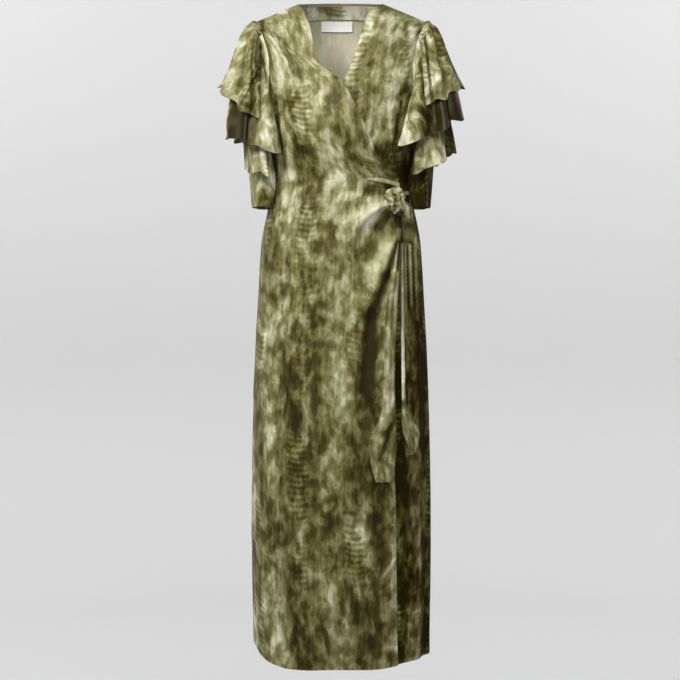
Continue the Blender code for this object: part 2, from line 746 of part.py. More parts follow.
def flounce_surface(row, columns, rows):
    """Flounce from its gathered line on the sleeve out to its waved hem."""
    (_, start_share, start_lift, start_front, start_back, hem_front, hem_back, centre_x, half_x,
     half_y, front_in, z_out, z_front, z_back, near_share, near_out, far_share, far_out,
     waves, depth, phase) = row
    side = np.linspace(-1.0, 1.0, columns)
    turn = split_turn(side, start_front, start_back)
    line = sleeve_surface(np.mod(turn, 2 * math.pi), np.array([start_share, start_share + 0.02]))
    start = line[0]
    ring_centre = start.mean(axis=0)
    away = unit(start - ring_centre)
    start = start + away * start_lift + np.array([0.0008, 0.0, 0.0])
    hem_turn = split_turn(side, hem_front, hem_back)
    wave = flounce_wave(side, waves, phase)
    toward_front = ease(side, 0.0, 1.0)
    toward_back = ease(-side, 0.0, 1.0)
    z_hem = z_out + (z_front - z_out) * toward_front + (z_back - z_out) * toward_back
    z_hem = z_hem - FLOUNCE_DIP * wave
    hem_x = centre_x + half_x * np.cos(hem_turn) - front_in * ease(side, 0.55, 1.0)
    hem = np.stack([hem_x, -half_y * np.sin(hem_turn), z_hem], axis=1)
    radial = unit(np.stack([np.cos(hem_turn) / half_x, -np.sin(hem_turn) / half_y,
                            np.zeros_like(hem_turn)], axis=1))
    fullness = radial * (0.35 + 0.65 * np.cos(0.5 * hem_turn) ** 2)[:, None]
    near = start + (hem - start) * near_share + fullness * near_out
    far = start + (hem - start) * far_share + fullness * far_out
    t = (np.linspace(0.0, 1.0, rows) ** 1.25)[:, None, None]
    points = ((1 - t) ** 3 * start + 3 * t * (1 - t) ** 2 * near
              + 3 * t ** 2 * (1 - t) * far + t ** 3 * hem)
    ripple = depth * wave[None, :, None] * (0.30 + 0.70 * t) * t ** 0.5
    return points + radial[None] * ripple


def pushed_clear(points, tree, clearance):
    """Points moved out until they stand clear of a layer, the gathered row least."""
    moved = points.copy()
    for spot in np.ndindex(moved.shape[:2]):
        near, normal, _, distance = tree.find_nearest(Vector(moved[spot]), 0.03)
        if near is None:
            continue
        wanted = clearance if spot[0] else FLOUNCE_SEAT
        beyond = (Vector(moved[spot]) - near).dot(normal)
        past_edge = abs(beyond) < 0.7 * distance
        if beyond < wanted and not past_edge:
            moved[spot] += np.array(normal) * (wanted - beyond)
    return moved


def flounce(name, side, row, below):
    """One gathered flounce as a cloth wall, kept clear of the bodice and the layers below."""
    points = flounce_surface(row, FLOUNCE_COLUMNS, FLOUNCE_ROWS)
    points = mirrored(points, side)
    for _ in range(3):
        for tree in below:
            points = pushed_clear(points, tree, FLOUNCE_CLEAR)
        points[1:] = clear_of_body(points[1:], FLOUNCE_BODY_CLEAR)
    normals = grid_normals(points)
    inner = points - normals * away_from_arm(points, normals, side) * WALL
    wall_object(name, points, inner, colour=PRINT_LIGHT)
    return surface_tree(points, False, side)


# ---------------------------------------------------------------- neck facing and label
def cloth_tree(item):
    """Search tree of a finished piece."""
    vertices = [vertex.co.copy() for vertex in item.data.vertices]
    faces = [tuple(face.vertices) for face in item.data.polygons]
    return BVHTree.FromPolygons(vertices, faces)


def back_place(tree, across, height, inward):
    """Places laid on the inner face of the back, a distance in front of it."""
    places = np.empty(across.shape + (3,))
    for spot in np.ndindex(across.shape):
        start = Vector((across[spot], 0.0, height[spot]))
        hit, normal, _, _ = tree.ray_cast(start, Vector((0.0, 1.0, 0.0)))
        places[spot] = hit + normal * inward
    return places


def neck_facing(tree):
    """Band inside the back neck, on the inner face of the back."""
    across = np.linspace(-NECK_HALF + 0.016, NECK_HALF - 0.016, 15)
    share = np.linspace(0.0, 1.0, 4)
    edge = NECK_BACK_RISE * (1.0 - (across / NECK_HALF) ** NECK_BACK_ARCH)
    height = (edge - FACING_TOP_INSET)[None, :] - FACING_HEIGHT * share[::-1, None]
    wide = np.broadcast_to(across, height.shape)
    outer = back_place(tree, wide, height, FACING_CLEAR)
    inner = back_place(tree, wide, height, FACING_CLEAR + FACING_WALL)
    return wall_object("neck_facing_back", outer, inner, colour=PRINT_DARK)


def blank_label(tree):
    """Plain woven label below the facing."""
    across = np.linspace(-LABEL_SIZE[0] / 2, LABEL_SIZE[0] / 2, 9) + LABEL_ACROSS
    height = LABEL_TOP - LABEL_SIZE[1] * np.linspace(1.0, 0.0, 3)
    wide, tall = np.meshgrid(across, height)
    outer = back_place(tree, wide, tall, FACING_CLEAR)
    inner = back_place(tree, wide, tall, FACING_CLEAR + FACING_WALL)
    return wall_object("label_blank", outer, inner, colour=LABEL_WHITE)


# ---------------------------------------------------------------- knot and ties
def front_surface(across, height, out):
    """Place on the front of the dress, moved out from the over layer."""
    half, front, _ = torso_sizes(height)
    total = WALL + LAYER_GAP + out
    under = across
    for _ in range(4):
        angle = front_angle(under, height)
        normal = unit(np.stack([np.sin(angle) / half, -np.cos(angle) / front, np.zeros_like(angle)], axis=-1))
        under = across - normal[..., 0] * total
    return torso(angle, height) + normal * total[..., None], normal


def knot_frame():
    """Centre of the knot and the directions across, out and up there."""
    across = np.array([KNOT_PLACE[0]])
    height = np.array([KNOT_PLACE[1]])
    place, normal = front_surface(across, height, np.array([KNOT_CENTRE_OUT]))
    out = normal[0]
    sideways = unit(np.cross(out, [0.0, 0.0, 1.0])) * -1.0
    return place[0], sideways, out, np.array([0.0, 0.0, 1.0])


def seated(points, trees, out):
    """Points moved in against the outward direction until one stands a seam gap off."""
    free = 0.05
    for place in points.reshape(-1, 3):
        for tree in trees:
            hit, _, _, distance = tree.ray_cast(Vector(place), Vector(-out))
            if hit is not None:
                free = min(free, distance)
    return points - out * (free - SEAT_GAP)


def tie_knot(trees):
    """Knot as a bunch of short folds gathered round a dimple."""
    centre, sideways, out, up = knot_frame()
    rings, steps = 11, 28
    polar = np.linspace(0.0, math.pi, rings + 2)[1:-1, None]
    round_ = np.linspace(0.0, 2 * math.pi, steps, endpoint=False)[None, :]
    lobes = 1.0 + KNOT_LOBE_DEPTH * np.sin(polar) * np.cos(KNOT_LOBES * round_ + 1.6 * np.cos(polar))
    x = KNOT_SIZE[0] * np.sin(polar) * np.cos(round_) * lobes
    z = KNOT_SIZE[2] * np.sin(polar) * np.sin(round_) * lobes
    dimple = 1.0 - 0.40 * np.exp(-(polar / 0.55) ** 2)
    y = KNOT_SIZE[1] * np.cos(polar) * dimple + 0.0 * round_
    grid = centre + x[..., None] * sideways + y[..., None] * out + z[..., None] * up
    poles = np.array([centre + out * KNOT_SIZE[1] * 0.60, centre - out * KNOT_SIZE[1]])
    vertices = np.concatenate([grid.reshape(-1, 3), poles])
    vertices = seated(vertices, trees, out)
    index = np.arange(rings * steps).reshape(rings, steps)
    after = np.roll(index, -1, axis=1)
    quads = np.stack([index[:-1], after[:-1], after[1:], index[1:]], axis=-1).reshape(-1, 4)
    first = [(rings * steps, a, b) for a, b in zip(after[0], index[0])]
    last = [(rings * steps + 1, a, b) for a, b in zip(index[-1], after[-1])]
    mesh = bpy.data.meshes.new("tie_knot")
    faces = [tuple(int(k) for k in face) for face in quads.tolist() + first + last]
    mesh.from_pydata(vertices.tolist(), [], faces)
    work = bmesh.new()
    work.from_mesh(mesh)
    bmesh.ops.triangulate(work, faces=work.faces[:])
    bmesh.ops.recalc_face_normals(work, faces=work.faces[:])
    work.to_mesh(mesh)
    work.free()
    mesh.shade_smooth()
    item = bpy.data.objects.new("tie_knot", mesh)
    bpy.context.scene.collection.objects.link(item)
    item.data.materials.append(material("tie_knot", PRINT_TIE))
    return item


def tie_end(name, table, fold, trees):
    """Hanging tie end: a strip with a soft lengthwise fold, in front of the skirt."""
    rows = 15
    run = np.linspace(0.0, 1.0, len(table))
    fine = np.linspace(0.0, 1.0, rows)
    x, z, half, out = [smooth(fine, run, column(table, k)) for k in range(4)]
    side = np.linspace(-1.0, 1.0, 5)
    across = x[:, None] + half[:, None] * side[None, :]
    height = np.broadcast_to(z[:, None], across.shape)
    lift = out[:, None] + TIE_CLEAR + WALL + fold * (1.0 - np.abs(side[None, :])) + 0.0 * across
    outer, away = front_surface(across, height, lift)
    normals = grid_normals(outer)
    toward = np.sign(-normals[..., 1].mean())
    inner = outer - normals * toward * WALL
    both = seated(np.stack([outer[::-1], inner[::-1]]), trees, away.reshape(-1, 3).mean(axis=0))
    return wall_object(name, both[0], both[1], colour=PRINT_TIE)


def strap(name, start, end, half, out, trees):
    """Short strap along the waist seam into the knot."""
    side = np.linspace(-1.0, 1.0, 3)
    share = np.linspace(0.0, 1.0, 7)
    x = start[0] + (end[0] - start[0]) * share
    z = start[1] + (end[1] - start[1]) * share
    across = np.broadcast_to(x, (3, 7)).copy()
    height = z[None, :] + half * side[:, None]
    lift = np.full(across.shape, out + WALL) + 0.0012 * (1.0 - np.abs(side))[:, None]
    outer, away = front_surface(across, height, lift)
    normals = grid_normals(outer)
    toward = np.sign(-normals[..., 1].mean())
    inner = outer - normals * toward * WALL
    both = seated(np.stack([outer, inner]), trees, away.reshape(-1, 3).mean(axis=0))
    return wall_object(name, both[0], both[1], colour=PRINT_TIE)


# ---------------------------------------------------------------- the whole dress
clear_scene()
crossing_bodice = bodice_over()
bodice_under()
back = bodice_back()
front_pieces = [crossing_bodice, skirt_over(), skirt_under()]
skirt_back()
for side_name, side_sign, table in (("left", 1.0, FLOUNCES_LEFT), ("right", -1.0, FLOUNCES_RIGHT)):
    layers = [inner_sleeve("sleeve_" + side_name, side_sign)]
    for flounce_row in reversed(table):
        title = "flounce_" + side_name + "_" + flounce_row[0]
        layers.append(flounce(title, side_sign, flounce_row, layers))
back_tree = cloth_tree(back)
neck_facing(back_tree)
blank_label(back_tree)
front_trees = [cloth_tree(piece) for piece in front_pieces]
strap("tie_strap_front", (0.048, -0.3700), (0.112, -0.3835), 0.0065, 0.0055, front_trees)
strap("tie_strap_side", (0.1420, -0.412), (0.1310, -0.414), 0.0080, 0.0055, front_trees)
tie_knot(front_trees)
tie_end("tie_end_long", TIE_LONG, 0.0020, front_trees)
tie_end("tie_end_wide", TIE_WIDE, 0.0030, front_trees)
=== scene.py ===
# %% [markdown]
# # A wrap dress with layered flounce sleeves
#
# This lesson dresses a plain construction model of a long wrap dress. The dress hangs in its
# worn form with nobody inside. Its right front wraps over the left one and is drawn into a
# knot at the wearer's left hip, so the skirt drapes in soft folds that fan out of the knot.
# Each sleeve carries three gathered flounces over a plain inner sleeve.
#
# Every piece is a thin sheet worked out with numpy, as a grid of points. The cloth is a light
# satin with a printed reptile skin, made from procedural nodes that follow the cloth.

# %% Load the fixed frame
import math

import bpy
import numpy as np
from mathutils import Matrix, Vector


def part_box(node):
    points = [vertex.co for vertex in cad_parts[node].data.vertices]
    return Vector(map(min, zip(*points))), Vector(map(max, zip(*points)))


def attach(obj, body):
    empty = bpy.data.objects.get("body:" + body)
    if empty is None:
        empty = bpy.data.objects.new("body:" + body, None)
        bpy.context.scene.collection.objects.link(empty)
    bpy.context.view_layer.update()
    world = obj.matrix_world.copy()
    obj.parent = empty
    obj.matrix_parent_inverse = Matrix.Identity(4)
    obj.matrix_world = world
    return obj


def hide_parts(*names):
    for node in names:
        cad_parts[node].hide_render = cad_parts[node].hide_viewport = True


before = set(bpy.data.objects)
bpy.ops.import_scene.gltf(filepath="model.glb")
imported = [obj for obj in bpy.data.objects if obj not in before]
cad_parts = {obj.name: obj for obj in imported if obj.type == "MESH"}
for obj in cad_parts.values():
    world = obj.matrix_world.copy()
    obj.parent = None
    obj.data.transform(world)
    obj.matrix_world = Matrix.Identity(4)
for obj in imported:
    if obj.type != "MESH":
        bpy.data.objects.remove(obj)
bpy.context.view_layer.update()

# %% [markdown]
# ## Camera
#
# The camera stands level with the hips, straight in front. A long lens keeps the sides of
# the skirt upright. The small shift frames the dress without tilting the camera.

# %% Camera
FRAME_PIXELS = 680
METRES_PER_PIXEL = 0.002096
VIEW_DISTANCE = 3.2
EYE_HEIGHT = -0.62
SENSOR_WIDTH = 36.0
camera_data = bpy.data.cameras.new("studio_camera")
camera_data.sensor_width = SENSOR_WIDTH
camera_data.lens = SENSOR_WIDTH * VIEW_DISTANCE / (FRAME_PIXELS * METRES_PER_PIXEL)
camera_data.shift_x = -1.0 / FRAME_PIXELS
camera_data.shift_y = -40.0 / FRAME_PIXELS
camera = bpy.data.objects.new("studio_camera", camera_data)
camera.location = (0.0, -VIEW_DISTANCE, EYE_HEIGHT)
camera.rotation_euler = (math.pi / 2, 0.0, 0.0)
bpy.context.scene.collection.objects.link(camera)
bpy.context.scene.camera = camera
print("lens", round(camera_data.lens, 1), "mm")

# %% [markdown]
# ## Sizes of the dress
#
# The tables are the pattern cutter's notes. Those inside metres() are written in millimetres.
# The body of the dress has a half width and two depths at each height, and the seams and edges
# are lines across that body. The construction model is built from the same numbers, so each
# sheet lies where its solid lies.

# %% Body, seams and edges
WALL = 0.0018
LAYER_GAP = 0.0033
SEAM_GAP = 0.0001
NECK_HALF = 0.088
SHOULDER_SLOPE = 0.44
SHOULDER_SOFT = 0.045
SHOULDER_DROP = 0.1
SHOULDER_ROUND = 0.65
UNDERARM_HEIGHT = -0.225
ARM_HALF = 0.165
SIDE_GAP = 0.0016
ARMHOLE_GAP = -0.0006
KNOT_ANGLE = math.radians(42.0)
UNDER_EDGE = math.radians(-34.0)
UNDER_MARGIN = math.radians(10.0)
NECK_BACK_RISE = 0.008
NECK_BACK_ARCH = 2


def metres(table, plain=0):
    """A table's millimetres over a thousand, its last plain columns kept as they are."""
    ends = [len(row) - plain for row in table]
    return tuple(tuple(v / 1000.0 for v in row[:end]) + row[end:] for row, end in zip(table, ends))


# columns: height, half_width, front_depth, back_depth
TORSO = metres((
    (60, 178, 80, 78),
    (0, 178, 82, 80),
    (-60, 177, 88, 86),
    (-120, 172, 98, 90),
    (-180, 165, 112, 94),
    (-225, 160, 120, 96),
    (-270, 156, 124, 95),
    (-320, 148, 115, 90),
    (-378, 141, 100, 86),
    (-430, 153, 104, 98),
    (-490, 165, 111, 112),
    (-550, 170, 115, 121),
    (-620, 174, 118, 125),
    (-730, 180, 122, 126),
    (-830, 183.5, 126, 126),
    (-1040, 187, 132, 128),
    (-1200, 186, 135, 130),
    (-1300, 184, 137, 132),
    (-1400, 184, 139, 133),
))

# columns: angle_deg, waist_height, hem_height
SEAM_LINES = (
    (-180.0, -0.372, -1.345),
    (-120.0, -0.372, -1.34),
    (-90.0, -0.374, -1.332),
    (-74.0, -0.376, -1.335),
    (-62.0, -0.377, -1.351),
    (0.0, -0.384, -1.361),
    (18.0, -0.388, -1.362),
    (50.0, -0.396, -1.356),
    (90.0, -0.39, -1.352),
    (120.0, -0.38, -1.347),
    (180.0, -0.372, -1.345),
)

# columns: x_front, x_back, height
ARMHOLE = metres((
    (176, 176, -37),
    (163, 166, -70),
    (151, 157, -110),
    (148, 154, -150),
    (151, 156, -190),
    (157, 159, -214),
    (160, 160, -225),
))

# columns: x, height
NECK_OVER = metres((
    (-88, 0),
    (-75, -29),
    (-64, -59),
    (-57, -91),
    (-50, -121),
    (-37, -144),
    (-12, -164),
    (10, -190),
    (38, -245),
    (71, -320),
    (96, -386),
))
NECK_UNDER = metres((
    (88, 0),
    (60, -26),
    (46, -56),
    (37, -90),
    (28, -122),
    (14, -156),
    (-6, -200),
    (-45, -290),
    (-80, -366),
))

# columns: height, angle_deg
FREE_EDGE = (
    (-0.38, 42.0),
    (-0.5, 40.0),
    (-0.62, 38.6),
    (-0.83, 35.0),
    (-1.14, 35.6),
    (-1.37, 37.4),
)
print("half width at the hem", TORSO[-1][1], "m; hem at the back", SEAM_LINES[0][2], "m")

# %% [markdown]
# ## Small tools
#
# A smooth curve through a few knots stands for every hand-drawn line of the pattern. Arrays
# go in and come out whole, so a grid of forty thousand points takes one call.


# %% Curves through knots
def column(table, index):
    """One column of a table as an array."""
    return np.array([row[index] for row in table], dtype=float)


def cubic(t, here, after, slope_here, slope_after):
    """Third-order curve between two values that leaves and arrives with the given slopes."""
    return ((2 * t ** 3 - 3 * t ** 2 + 1) * here + (t ** 3 - 2 * t ** 2 + t) * slope_here
            + (3 * t ** 2 - 2 * t ** 3) * after + (t ** 3 - t ** 2) * slope_after)


def smooth(position, knots, values):
    """Cubic through the knots: at each knot the slope is that of its two neighbours."""
    order = np.argsort(knots)
    knots = np.asarray(knots, dtype=float)[order]
    values = np.asarray(values, dtype=float)[order]
    slopes = np.gradient(values, knots)
    position = np.clip(position, knots[0], knots[-1])
    cell = np.clip(np.searchsorted(knots, position, side="right") - 1, 0, len(knots) - 2)
    step = knots[cell + 1] - knots[cell]
    t = (position - knots[cell]) / step
    return cubic(t, values[cell], values[cell + 1], step * slopes[cell], step * slopes[cell + 1])


def ease(value, low, high):
    """Soft step from 0 at low to 1 at high: three squares less two cubes."""
    t = np.clip((value - low) / (high - low), 0.0, 1.0)
    return t * t * (3.0 - 2.0 * t)


def along(points, shares):
    """Points at the given shares of a polyline's length."""
    points = np.asarray(points, dtype=float)
    steps = np.linalg.norm(np.diff(points, axis=0), axis=1)
    run = np.concatenate(([0.0], np.cumsum(steps)))
    run = run / run[-1]
    return np.stack([np.interp(shares, run, points[:, k]) for k in range(points.shape[1])], axis=1)


def unit(vectors):
    """Vectors brought to length one."""
    return vectors / np.maximum(np.linalg.norm(vectors, axis=-1, keepdims=True), 1e-9)


def grid_normals(points, wrap=False):
    """Cross product of the step across and the step up, at each grid point."""
    if wrap:
        across = np.roll(points, -1, axis=1) - np.roll(points, 1, axis=1)
    else:
        across = np.gradient(points, axis=1)
    return unit(np.cross(across, np.gradient(points, axis=0)))


# %% [markdown]
# ## The body of the dress as one surface
#
# A general figure is enough: two half ellipses back to back at each height, closing towards
# the shoulder line. Every panel is a patch of this surface between its own four edges.


# %% Body surface
def torso_sizes(height):
    """Half width, front depth and back depth at a height."""
    levels = column(TORSO, 0)
    return [smooth(height, levels, column(TORSO, k)) for k in (1, 2, 3)]


def shoulder_height(x):
    """Shoulder line: a slope on each side, rounded over at the middle."""
    level = math.hypot(NECK_HALF, SHOULDER_SOFT)
    return -SHOULDER_SLOPE * (np.sqrt(x ** 2 + SHOULDER_SOFT ** 2) - level)


def torso(angle, height):
    """Ellipse: x is the half width times the sine, y the depth times the cosine."""
    half, front, back = torso_sizes(height)
    x = half * np.sin(angle)
    drop = np.clip((shoulder_height(x) - height) / SHOULDER_DROP, 0.0, 1.0)
    closing = (1.0 - (1.0 - drop) ** 2) ** SHOULDER_ROUND
    turn = np.cos(angle)
    y = np.where(turn >= 0.0, -front, -back) * turn * closing
    return np.stack([x, y, height], axis=-1)


def front_angle(x, height):
    """Angle whose sine is the place across over the half width."""
    return np.arcsin(np.clip(x / torso_sizes(height)[0], -1.0, 1.0))


def wrapped(angle):
    """The same angle between minus and plus a half turn."""
    return (angle + math.pi) % (2 * math.pi) - math.pi


def waist_height(angle):
    """Height of the waist seam."""
    return smooth(np.degrees(angle), column(SEAM_LINES, 0), column(SEAM_LINES, 1))


def hem_height(angle):
    """Height of the skirt hem."""
    return smooth(np.degrees(angle), column(SEAM_LINES, 0), column(SEAM_LINES, 2))


# %% Edges of the panels
def edge_line(across, height, side=1.0, behind=False):
    """Places across the body as angle and height, on one side, in front or behind."""
    angle = front_angle(across, height)
    return np.stack([side * (math.pi - angle if behind else angle), height], axis=1)


def armhole_line(side, behind):
    """Armhole from the shoulder point to the underarm."""
    levels = column(ARMHOLE, 2)
    top = shoulder_height(ARMHOLE[0][0])
    height = top + (levels[-1] - top) * np.linspace(0.0, 1.0, 41) ** 0.9
    line = edge_line(smooth(height, levels, column(ARMHOLE, 1 if behind else 0)), height, side, behind)
    line[-1, 0] = side * math.pi / 2
    return line


def neck_line(table):
    """Front neck edge from the neck point down."""
    run = np.arange(len(table), dtype=float)
    fine = np.linspace(0.0, run[-1], 81)
    return edge_line(*[smooth(fine, run, column(table, k)) for k in (0, 1)])


def shoulder_line(side, behind):
    """Shoulder seam from the neck point to the shoulder point."""
    across = np.linspace(NECK_HALF, ARMHOLE[0][0], 21)
    return edge_line(across, shoulder_height(across), side, behind)


def seam_between(start, end):
    """Waist seam from one angle to another."""
    angle = np.linspace(start, end, 61)
    return np.stack([angle, waist_height(angle)], axis=1)


def side_line(angle, low, high):
    """Upright line at one angle."""
    return np.stack([np.full(31, angle), np.linspace(low, high, 31)], axis=1)


def patch(bottom, top, left, right, across, up):
    """Blend of the four edge lines less the blend of the four corners."""
    low = along(bottom, across)[None, :, :]
    high = along(top, across)[None, :, :]
    first = along(left, up)[:, None, :]
    last = along(right, up)[:, None, :]
    u = across[None, :, None]
    v = up[:, None, None]
    corners = ((1 - v) * ((1 - u) * low[:, :1] + u * low[:, -1:])
               + v * ((1 - u) * high[:, :1] + u * high[:, -1:]))
    return (1 - v) * low + v * high + (1 - u) * first + u * last - corners


# %% [markdown]
# ## Printed satin
#
# The print is a generic reptile skin in olive, cream and dark brown. It is mixed from three
# scales of pattern: large soft blotches, a net of small scales whose cells vary in tone, and
# columns of narrow cross bars like belly scales. All of them read the piece's own UV map, laid
# out in metres along the cloth, so the print follows each fold.


# %% Node helpers
def add_node(tree, kind, links=None, **settings):
    """A node with its settings made and its sockets linked or set."""
    item = tree.nodes.new(kind)
    for name, value in settings.items():
        setattr(item, name, value)
    for socket, value in (links or {}).items():
        if isinstance(value, bpy.types.NodeSocket):
            tree.links.new(value, item.inputs[socket])
        else:
            item.inputs[socket].default_value = value
    return item


def math_node(tree, operation, first, second=0.0, third=0.0):
    """Result of one sum on values or sockets."""
    item = add_node(tree, "ShaderNodeMath", {0: first, 1: second, 2: third}, operation=operation)
    return item.outputs[0]


def added(tree, tone, part, gain):
    """Tone plus the gain times the part's distance from a half."""
    return math_node(tree, "MULTIPLY_ADD", math_node(tree, "SUBTRACT", part, 0.5), gain, tone)


def stretched(tree, vector, scale):
    """A vector multiplied by a scale in each direction."""
    item = add_node(tree, "ShaderNodeVectorMath", {0: vector, 1: scale}, operation="MULTIPLY")
    return item.outputs["Vector"]


def noise(tree, place, cells, detail=1.0):
    """Smooth noise with so many cells a metre in each direction."""
    links = {"Vector": stretched(tree, place, cells), "Scale": 1.0, "Detail": detail, "Roughness": 0.5}
    return add_node(tree, "ShaderNodeTexNoise", links, noise_dimensions="3D").outputs["Fac"]


def bump(tree, height, strength, distance):
    """Normal of a surface that rises by a share of the distance with the height."""
    links = {"Strength": strength, "Distance": distance, "Height": height}
    return add_node(tree, "ShaderNodeBump", links).outputs["Normal"]


def new_finish(name, settings):
    """A new material with its shader's named sockets set, and that shader."""
    finish = bpy.data.materials.new(name)
    finish.use_nodes = True
    shader = finish.node_tree.nodes["Principled BSDF"]
    for socket, value in settings.items():
        shader.inputs[socket].default_value = value
    return finish, finish.node_tree, shader


# %% Print in the cloth
# columns: tone, red, green, blue
PRINT_TONES = (
    (0.0, 0.018, 0.013, 0.002),
    (0.2, 0.056, 0.045, 0.01),
    (0.42, 0.15, 0.136, 0.05),
    (0.6, 0.286, 0.272, 0.153),
    (0.8, 0.515, 0.495, 0.36),
    (1.0, 0.765, 0.745, 0.63),
)
# cells a metre across and up the cloth
BLOTCH_CELLS = (17.0, 5.6, 1.0)
PATCH_CELLS = (48.0, 29.0, 1.0)
SCALE_CELLS = (98.0, 72.0, 1.0)
STREAK_CELLS = (130.0, 22.0, 1.0)
SPECK_CELLS = (210.0, 150.0, 1.0)
RIM_CELLS = (24.0, 17.0, 1.0)
BAR_CELLS = (5.0, 4.2, 1.0)
DYE_CELLS = (26.0, 9.0, 1.0)
SLUB_CELLS = (900.0, 900.0, 260.0)
RIB_CELLS = (300.0, 2600.0, 1.0)
# how much each scale of the pattern adds to the tone
BLOTCH_GAIN = 1.3
BLOTCH_SHIFT = -0.2
COLUMN_GAIN = -0.06
CELL_GAIN = 0.14
RIM_GAIN = 0.55
BAR_GAIN = 0.085
SPECK_GAIN = 0.12
COLUMN_WIDTH = 0.118
BAR_SPACING = 0.0118
PLAIN_TONE = 0.42


def masked(tree, value, low, high):
    """Soft step of a value between two levels."""
    item = add_node(tree, "ShaderNodeMapRange", {"Value": value, "From Min": low, "From Max": high},
                    interpolation_type="SMOOTHSTEP")
    return item.outputs[0]


def print_place(tree):
    """Place on the cloth, wandering by up to a centimetre so no line of the print is straight."""
    place = add_node(tree, "ShaderNodeUVMap", uv_map="cloth").outputs["UV"]
    for cells, reach in ((11.0, 0.014), (52.0, 0.005)):
        wander = add_node(tree, "ShaderNodeTexNoise", {"Vector": place, "Scale": cells, "Detail": 1.0})
        links = {0: wander.outputs["Color"], 1: (0.5, 0.5, 0.5)}
        shifted = add_node(tree, "ShaderNodeVectorMath", links, operation="SUBTRACT")
        links = {0: shifted.outputs[0], 1: (reach, reach, 0.0), 2: place}
        place = add_node(tree, "ShaderNodeVectorMath", links, operation="MULTIPLY_ADD").outputs[0]
    return place


def skin_scales(tree, place, tone):
    """Tone with scales added: each cell its own tone, pale rims in some parts, dark ones in others."""
    links = {"Vector": stretched(tree, place, SCALE_CELLS), "Scale": 1.0, "Randomness": 0.8}
    cells, rims = [add_node(tree, "ShaderNodeTexVoronoi", links, voronoi_dimensions="2D", feature=feature)
                   for feature in ("F1", "DISTANCE_TO_EDGE")]
    cell_tone = add_node(tree, "ShaderNodeSeparateColor", {0: cells.outputs["Color"]}).outputs[0]
    tone = added(tree, tone, cell_tone, CELL_GAIN)
    rim = math_node(tree, "SUBTRACT", 1.0, masked(tree, rims.outputs["Distance"], 0.0, 0.5))
    where = noise(tree, place, RIM_CELLS)
    pale = math_node(tree, "MULTIPLY", rim, math_node(tree, "SUBTRACT", where, 0.46))
    return math_node(tree, "MULTIPLY_ADD", pale, RIM_GAIN, tone)


def belly_bars(tree, place, column_wave, up, tone):
    """Tone with narrow bowed cross bars added in stretches of the print's columns."""
    bow = math_node(tree, "MULTIPLY", math_node(tree, "MULTIPLY", column_wave, column_wave), 0.004)
    turn = math_node(tree, "MULTIPLY", math_node(tree, "ADD", up, bow), 2 * math.pi / BAR_SPACING)
    bars = math_node(tree, "SINE", turn)
    along_column = noise(tree, place, BAR_CELLS)
    share = math_node(tree, "MULTIPLY", masked(tree, column_wave, 0.1, 0.75),
                      masked(tree, along_column, 0.44, 0.6))
    return math_node(tree, "MULTIPLY_ADD", math_node(tree, "MULTIPLY", bars, share), BAR_GAIN, tone)


def print_tone(tree):
    """Sum of painted light and shade, blotches, columns, patches, streaks, scales, bars and specks."""
    place = print_place(tree)
    parts = add_node(tree, "ShaderNodeSeparateXYZ", {0: place})
    # light and shade painted into the piece, read from its attribute and added to the print's tone
    painted_shading = add_node(tree, "ShaderNodeAttribute", attribute_name="painted_shading").outputs["Fac"]
    blotch = noise(tree, place, BLOTCH_CELLS, 2.0)
    blotch_tone = math_node(tree, "MULTIPLY_ADD", blotch, BLOTCH_GAIN, BLOTCH_SHIFT)
    tone = math_node(tree, "ADD", painted_shading, blotch_tone)
    column_turn = math_node(tree, "MULTIPLY", parts.outputs["X"], 2 * math.pi / COLUMN_WIDTH)
    column_wave = math_node(tree, "COSINE", column_turn)
    tone = math_node(tree, "MULTIPLY_ADD", column_wave, COLUMN_GAIN, tone)
    for cells, low, high, gain in ((PATCH_CELLS, 0.37, 0.63, 0.24), (STREAK_CELLS, 0.36, 0.64, 0.1)):
        tone = added(tree, tone, masked(tree, noise(tree, place, cells), low, high), gain)
    tone = skin_scales(tree, place, tone)
    tone = belly_bars(tree, place, column_wave, parts.outputs["Y"], tone)
    tone = added(tree, tone, noise(tree, place, SPECK_CELLS), SPECK_GAIN)
    plain = math_node(tree, "ADD", painted_shading, PLAIN_TONE)
    calm = add_node(tree, "ShaderNodeAttribute", attribute_name="calm").outputs["Fac"]
    shown = math_node(tree, "SUBTRACT", 1.0, calm)
    return math_node(tree, "MULTIPLY_ADD", math_node(tree, "SUBTRACT", tone, plain), shown, plain)


def tone_ramp(tree, tone, rows):
    """Colours of a table blended along the tone."""
    ramp = add_node(tree, "ShaderNodeValToRGB", {0: tone})
    elements = ramp.color_ramp.elements
    while len(elements) < len(rows):
        elements.new(0.5)
    for element, row in zip(elements, rows):
        element.position = row[0]
        element.color = (*row[1:4], 1.0)
    return ramp.outputs["Color"]


# columns: level, red, green, blue, as shares of the printed colour
DYE_DRIFT = (
    (0.34, 1.025, 0.985, 1.01),
    (0.66, 0.97, 1.012, 0.9),
)


def dye_drift(tree):
    """Slow change between a browner and a greener dye, in upright stretches of the cloth."""
    place = add_node(tree, "ShaderNodeUVMap", uv_map="cloth").outputs["UV"]
    return tone_ramp(tree, noise(tree, place, DYE_CELLS, 2.0), DYE_DRIFT)


def weave_bump(tree):
    """Fine slubs of the satin as a bump, in Object coordinates."""
    place = add_node(tree, "ShaderNodeTexCoord").outputs["Object"]
    return bump(tree, noise(tree, place, SLUB_CELLS, 2.0), 0.25, 0.0004)


# %% Satin materials
GLOSS_TINT = (1.0, 0.94, 0.66, 1.0)


